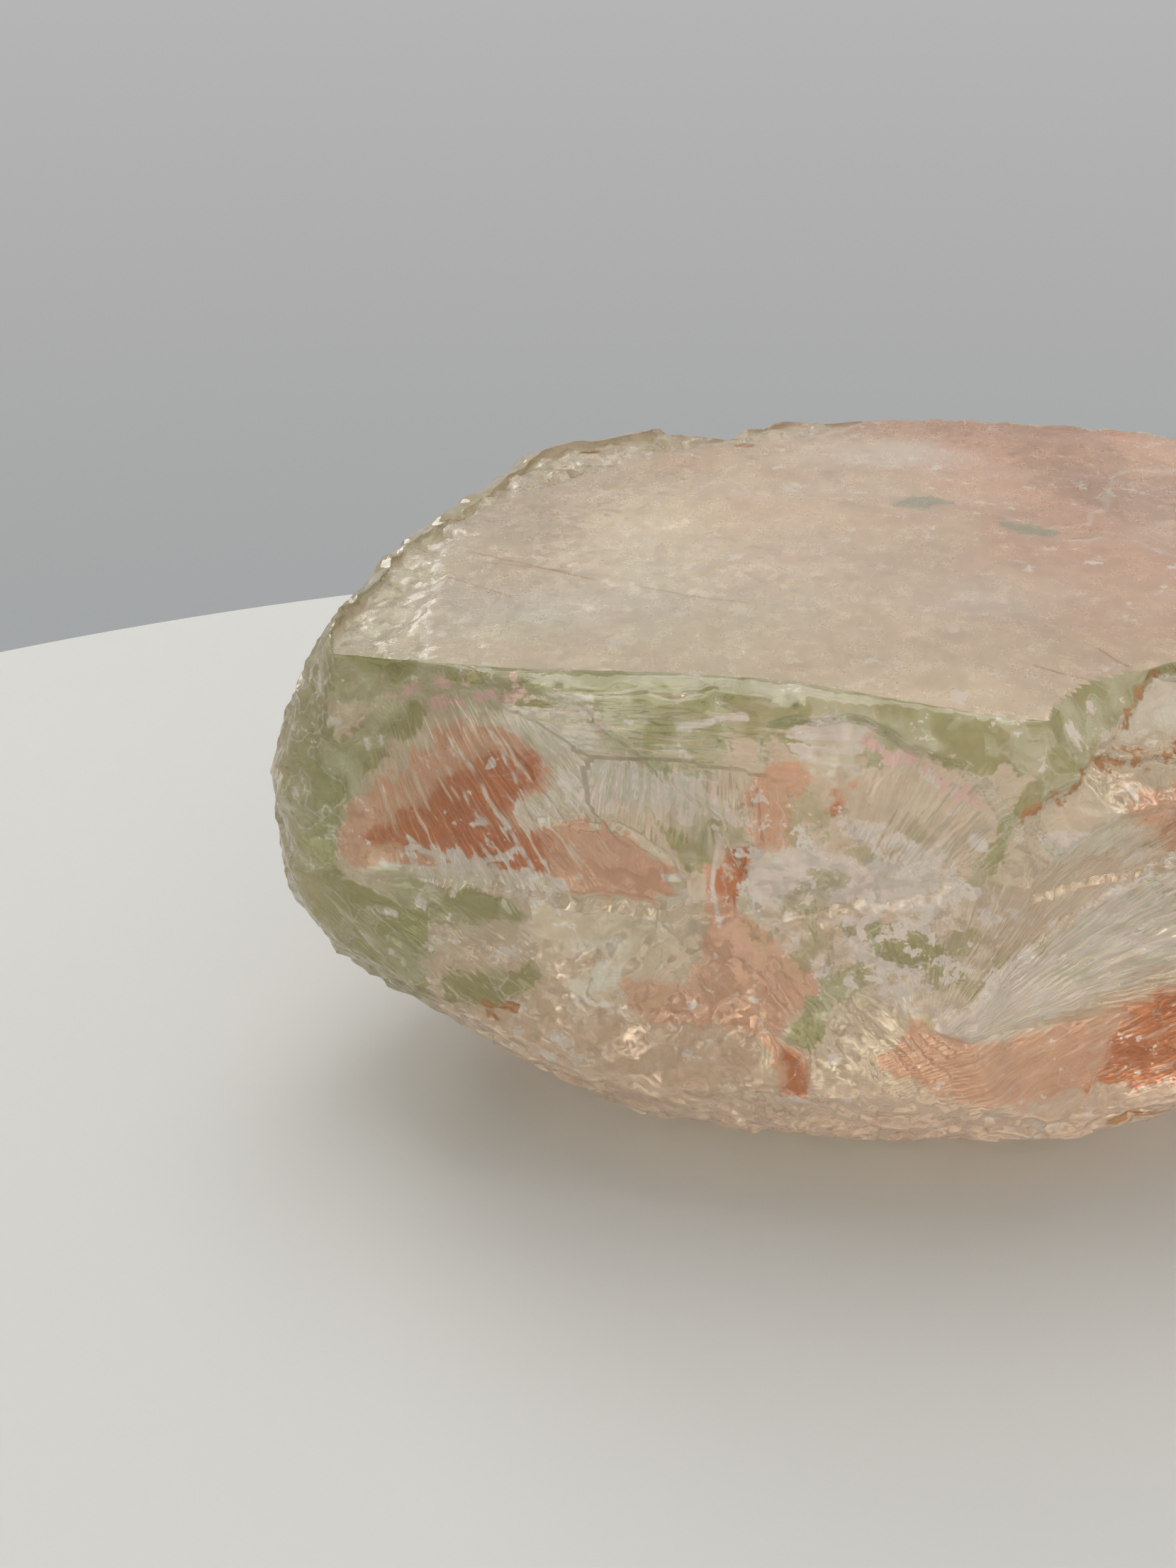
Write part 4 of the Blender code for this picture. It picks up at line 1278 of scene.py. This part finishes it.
def table_mesh(reach):
    """A round table top: a profile turned about the upright axis.

    The profile runs level from the hub out to reach, over a rounded edge that
    is a quarter circle, down to the table's depth and back in below.
    """
    bend = np.linspace(0.0, math.pi / 2.0, 9)[1:]
    level = np.linspace(TABLE_HUB, reach - TABLE_EDGE, 14)
    rounded = reach - TABLE_EDGE + TABLE_EDGE * np.sin(bend)
    out = np.concatenate([level, rounded, [reach, reach, TABLE_HUB]])
    height = np.concatenate([
        np.zeros(len(level)), TABLE_EDGE * np.cos(bend) - TABLE_EDGE,
        [-2.0 * TABLE_EDGE, -TABLE_DEPTH, -TABLE_DEPTH],
    ])
    angles = np.arange(TABLE_SPOKES) * (2.0 * math.pi / TABLE_SPOKES)
    ring = np.stack([
        out[:, None] * np.cos(angles),
        out[:, None] * np.sin(angles),
        np.repeat(height[:, None], TABLE_SPOKES, axis=1),
    ], axis=-1).reshape(-1, 3)
    return np.concatenate([[[0.0, 0.0, 0.0]], ring, [[0.0, 0.0, -TABLE_DEPTH]]])


def table_material(colour):
    """Matt pale table with a faint uneven tone."""
    material = bpy.data.materials.new("pale_table")
    material.use_nodes = True
    bench = NodeBench(material.node_tree)
    shader = material.node_tree.nodes["Principled BSDF"]
    shader.inputs["Roughness"].default_value = 0.75
    shader.inputs["Specular IOR Level"].default_value = 0.2
    where = bench.add("ShaderNodeTexCoord").outputs["Object"]
    tone = bench.noise(where, 18.0, 3.0)
    ramp = bench.add("ShaderNodeValToRGB")
    ramp.color_ramp.elements[0].color = (*(part * 0.965 for part in colour), 1.0)
    ramp.color_ramp.elements[1].color = (*colour, 1.0)
    bench.join(tone, ramp.inputs["Fac"])
    bench.join(ramp.outputs[0], shader.inputs["Base Color"])
    return material


def grey_surroundings(scene, level):
    """Soft grey all round, a little lighter overhead and cooler low down."""
    world = bpy.data.worlds.new("studio_grey")
    world.use_nodes = True
    tree = world.node_tree
    tree.nodes.clear()
    bench = NodeBench(tree)
    output = bench.add("ShaderNodeOutputWorld")
    light = bench.add("ShaderNodeBackground")
    where = bench.add("ShaderNodeTexCoord").outputs["Generated"]
    split = bench.add("ShaderNodeSeparateXYZ")
    bench.join(where, split.inputs[0])
    ramp = bench.add("ShaderNodeValToRGB")
    stops = ramp.color_ramp.elements
    stops[0].position, stops[0].color = GREYS[0]
    stops[1].position, stops[1].color = GREYS[-1]
    for position, colour in GREYS[1:-1]:
        stops.new(position).color = colour
    bench.join(bench.math("ADD", bench.times(split.outputs["Z"], 0.5), 0.5), ramp.inputs["Fac"])
    bench.join(ramp.outputs[0], light.inputs["Color"])
    light.inputs["Strength"].default_value = level
    bench.join(light.outputs[0], output.inputs["Surface"])
    scene.world = world


def add_softbox(scene, name, place, target, size, power, colour):
    """A square light of the given side at place, turned to face target."""
    lamp = bpy.data.lights.new(name, "AREA")
    lamp.shape = "SQUARE"
    lamp.size = size
    lamp.energy = power
    lamp.color = colour
    holder = bpy.data.objects.new(name, lamp)
    gap = np.asarray(target, dtype=float) - np.asarray(place, dtype=float)
    flat = math.hypot(gap[0], gap[1])
    holder.location = place
    holder.rotation_euler = (math.atan2(flat, -gap[2]), 0.0, math.atan2(gap[1], gap[0]) - math.pi / 2.0)
    scene.collection.objects.link(holder)


class BERYL_OT_make_stage(bpy.types.Operator):
    """Set the pale table, the grey surroundings, the lights and the camera"""

    bl_idname = "beryl.make_stage"
    bl_label = "Make Stage"

    def execute(self, context):
        scene = context.scene
        stage = scene.beryl_stage
        points = table_mesh(stage.table_reach) + (*TABLE_MIDDLE, -TABLE_GAP)
        mesh = make_mesh("pale_table", points, TABLE_SPOKES)
        mesh.materials.append(table_material(tuple(stage.table_colour)))
        mesh.shade_smooth()
        mesh.set_sharp_from_angle(angle=math.radians(TABLE_CREASE))
        table = bpy.data.objects.new("pale_table", mesh)
        scene.collection.objects.link(table)
        grey_surroundings(scene, stage.wall_level)
        for name, setting, place, aim, size, colour in LIGHTS:
            add_softbox(scene, name, place, (0.0, 0.0, aim), size, getattr(stage, setting), colour)
        lens = bpy.data.cameras.new("camera")
        lens.lens = CAMERA_LENS
        lens.sensor_width = 36.0
        lens.clip_start = 0.005
        lens.clip_end = 20.0
        camera = bpy.data.objects.new("camera", lens)
        camera.location = CAMERA_PLACE
        camera.rotation_euler = (math.radians(CAMERA_TILT), 0.0, 0.0)
        scene.collection.objects.link(camera)
        scene.camera = camera
        scene.view_settings.view_transform = "Standard"
        scene.view_settings.look = "None"
        scene.cycles.max_bounces = 12
        scene.cycles.transmission_bounces = 10
        scene.cycles.glossy_bounces = 6
        scene.cycles.diffuse_bounces = 3
        scene.cycles.use_adaptive_sampling = True
        scene.cycles.adaptive_threshold = 0.14
        scene.cycles.adaptive_min_samples = 16
        scene.cycles.sample_clamp_indirect = 4.0
        scene.cycles.blur_glossy = 0.6
        scene.cycles.use_denoising = True
        return {"FINISHED"}


class BERYL_PT_panel(bpy.types.Panel):
    """Sizes, colours and steps of the rough beryl"""

    bl_idname = "BERYL_PT_panel"
    bl_label = "Rough Beryl"
    bl_space_type = "VIEW_3D"
    bl_region_type = "UI"
    bl_category = "Beryl"

    def draw(self, context):
        scene = context.scene
        for group in (scene.beryl_shape, scene.beryl_finish, scene.beryl_stage):
            box = self.layout.box()
            for name in group.__annotations__:
                box.prop(group, name)
        self.layout.operator("beryl.make_stone")
        self.layout.operator("beryl.make_stage")


CLASSES = (
    BerylShape, BerylFinish, BerylStage, BERYL_OT_make_stone, BERYL_OT_make_stage, BERYL_PT_panel,
)


def register():
    for item in CLASSES:
        bpy.utils.register_class(item)
    bpy.types.Scene.beryl_shape = bpy.props.PointerProperty(type=BerylShape)
    bpy.types.Scene.beryl_finish = bpy.props.PointerProperty(type=BerylFinish)
    bpy.types.Scene.beryl_stage = bpy.props.PointerProperty(type=BerylStage)


def unregister():
    del bpy.types.Scene.beryl_stage
    del bpy.types.Scene.beryl_finish
    del bpy.types.Scene.beryl_shape
    for item in reversed(CLASSES):
        bpy.utils.unregister_class(item)


def main():
    register()
    bpy.ops.beryl.make_stone()
    bpy.ops.beryl.make_stage()


if __name__ == "__main__":
    main()
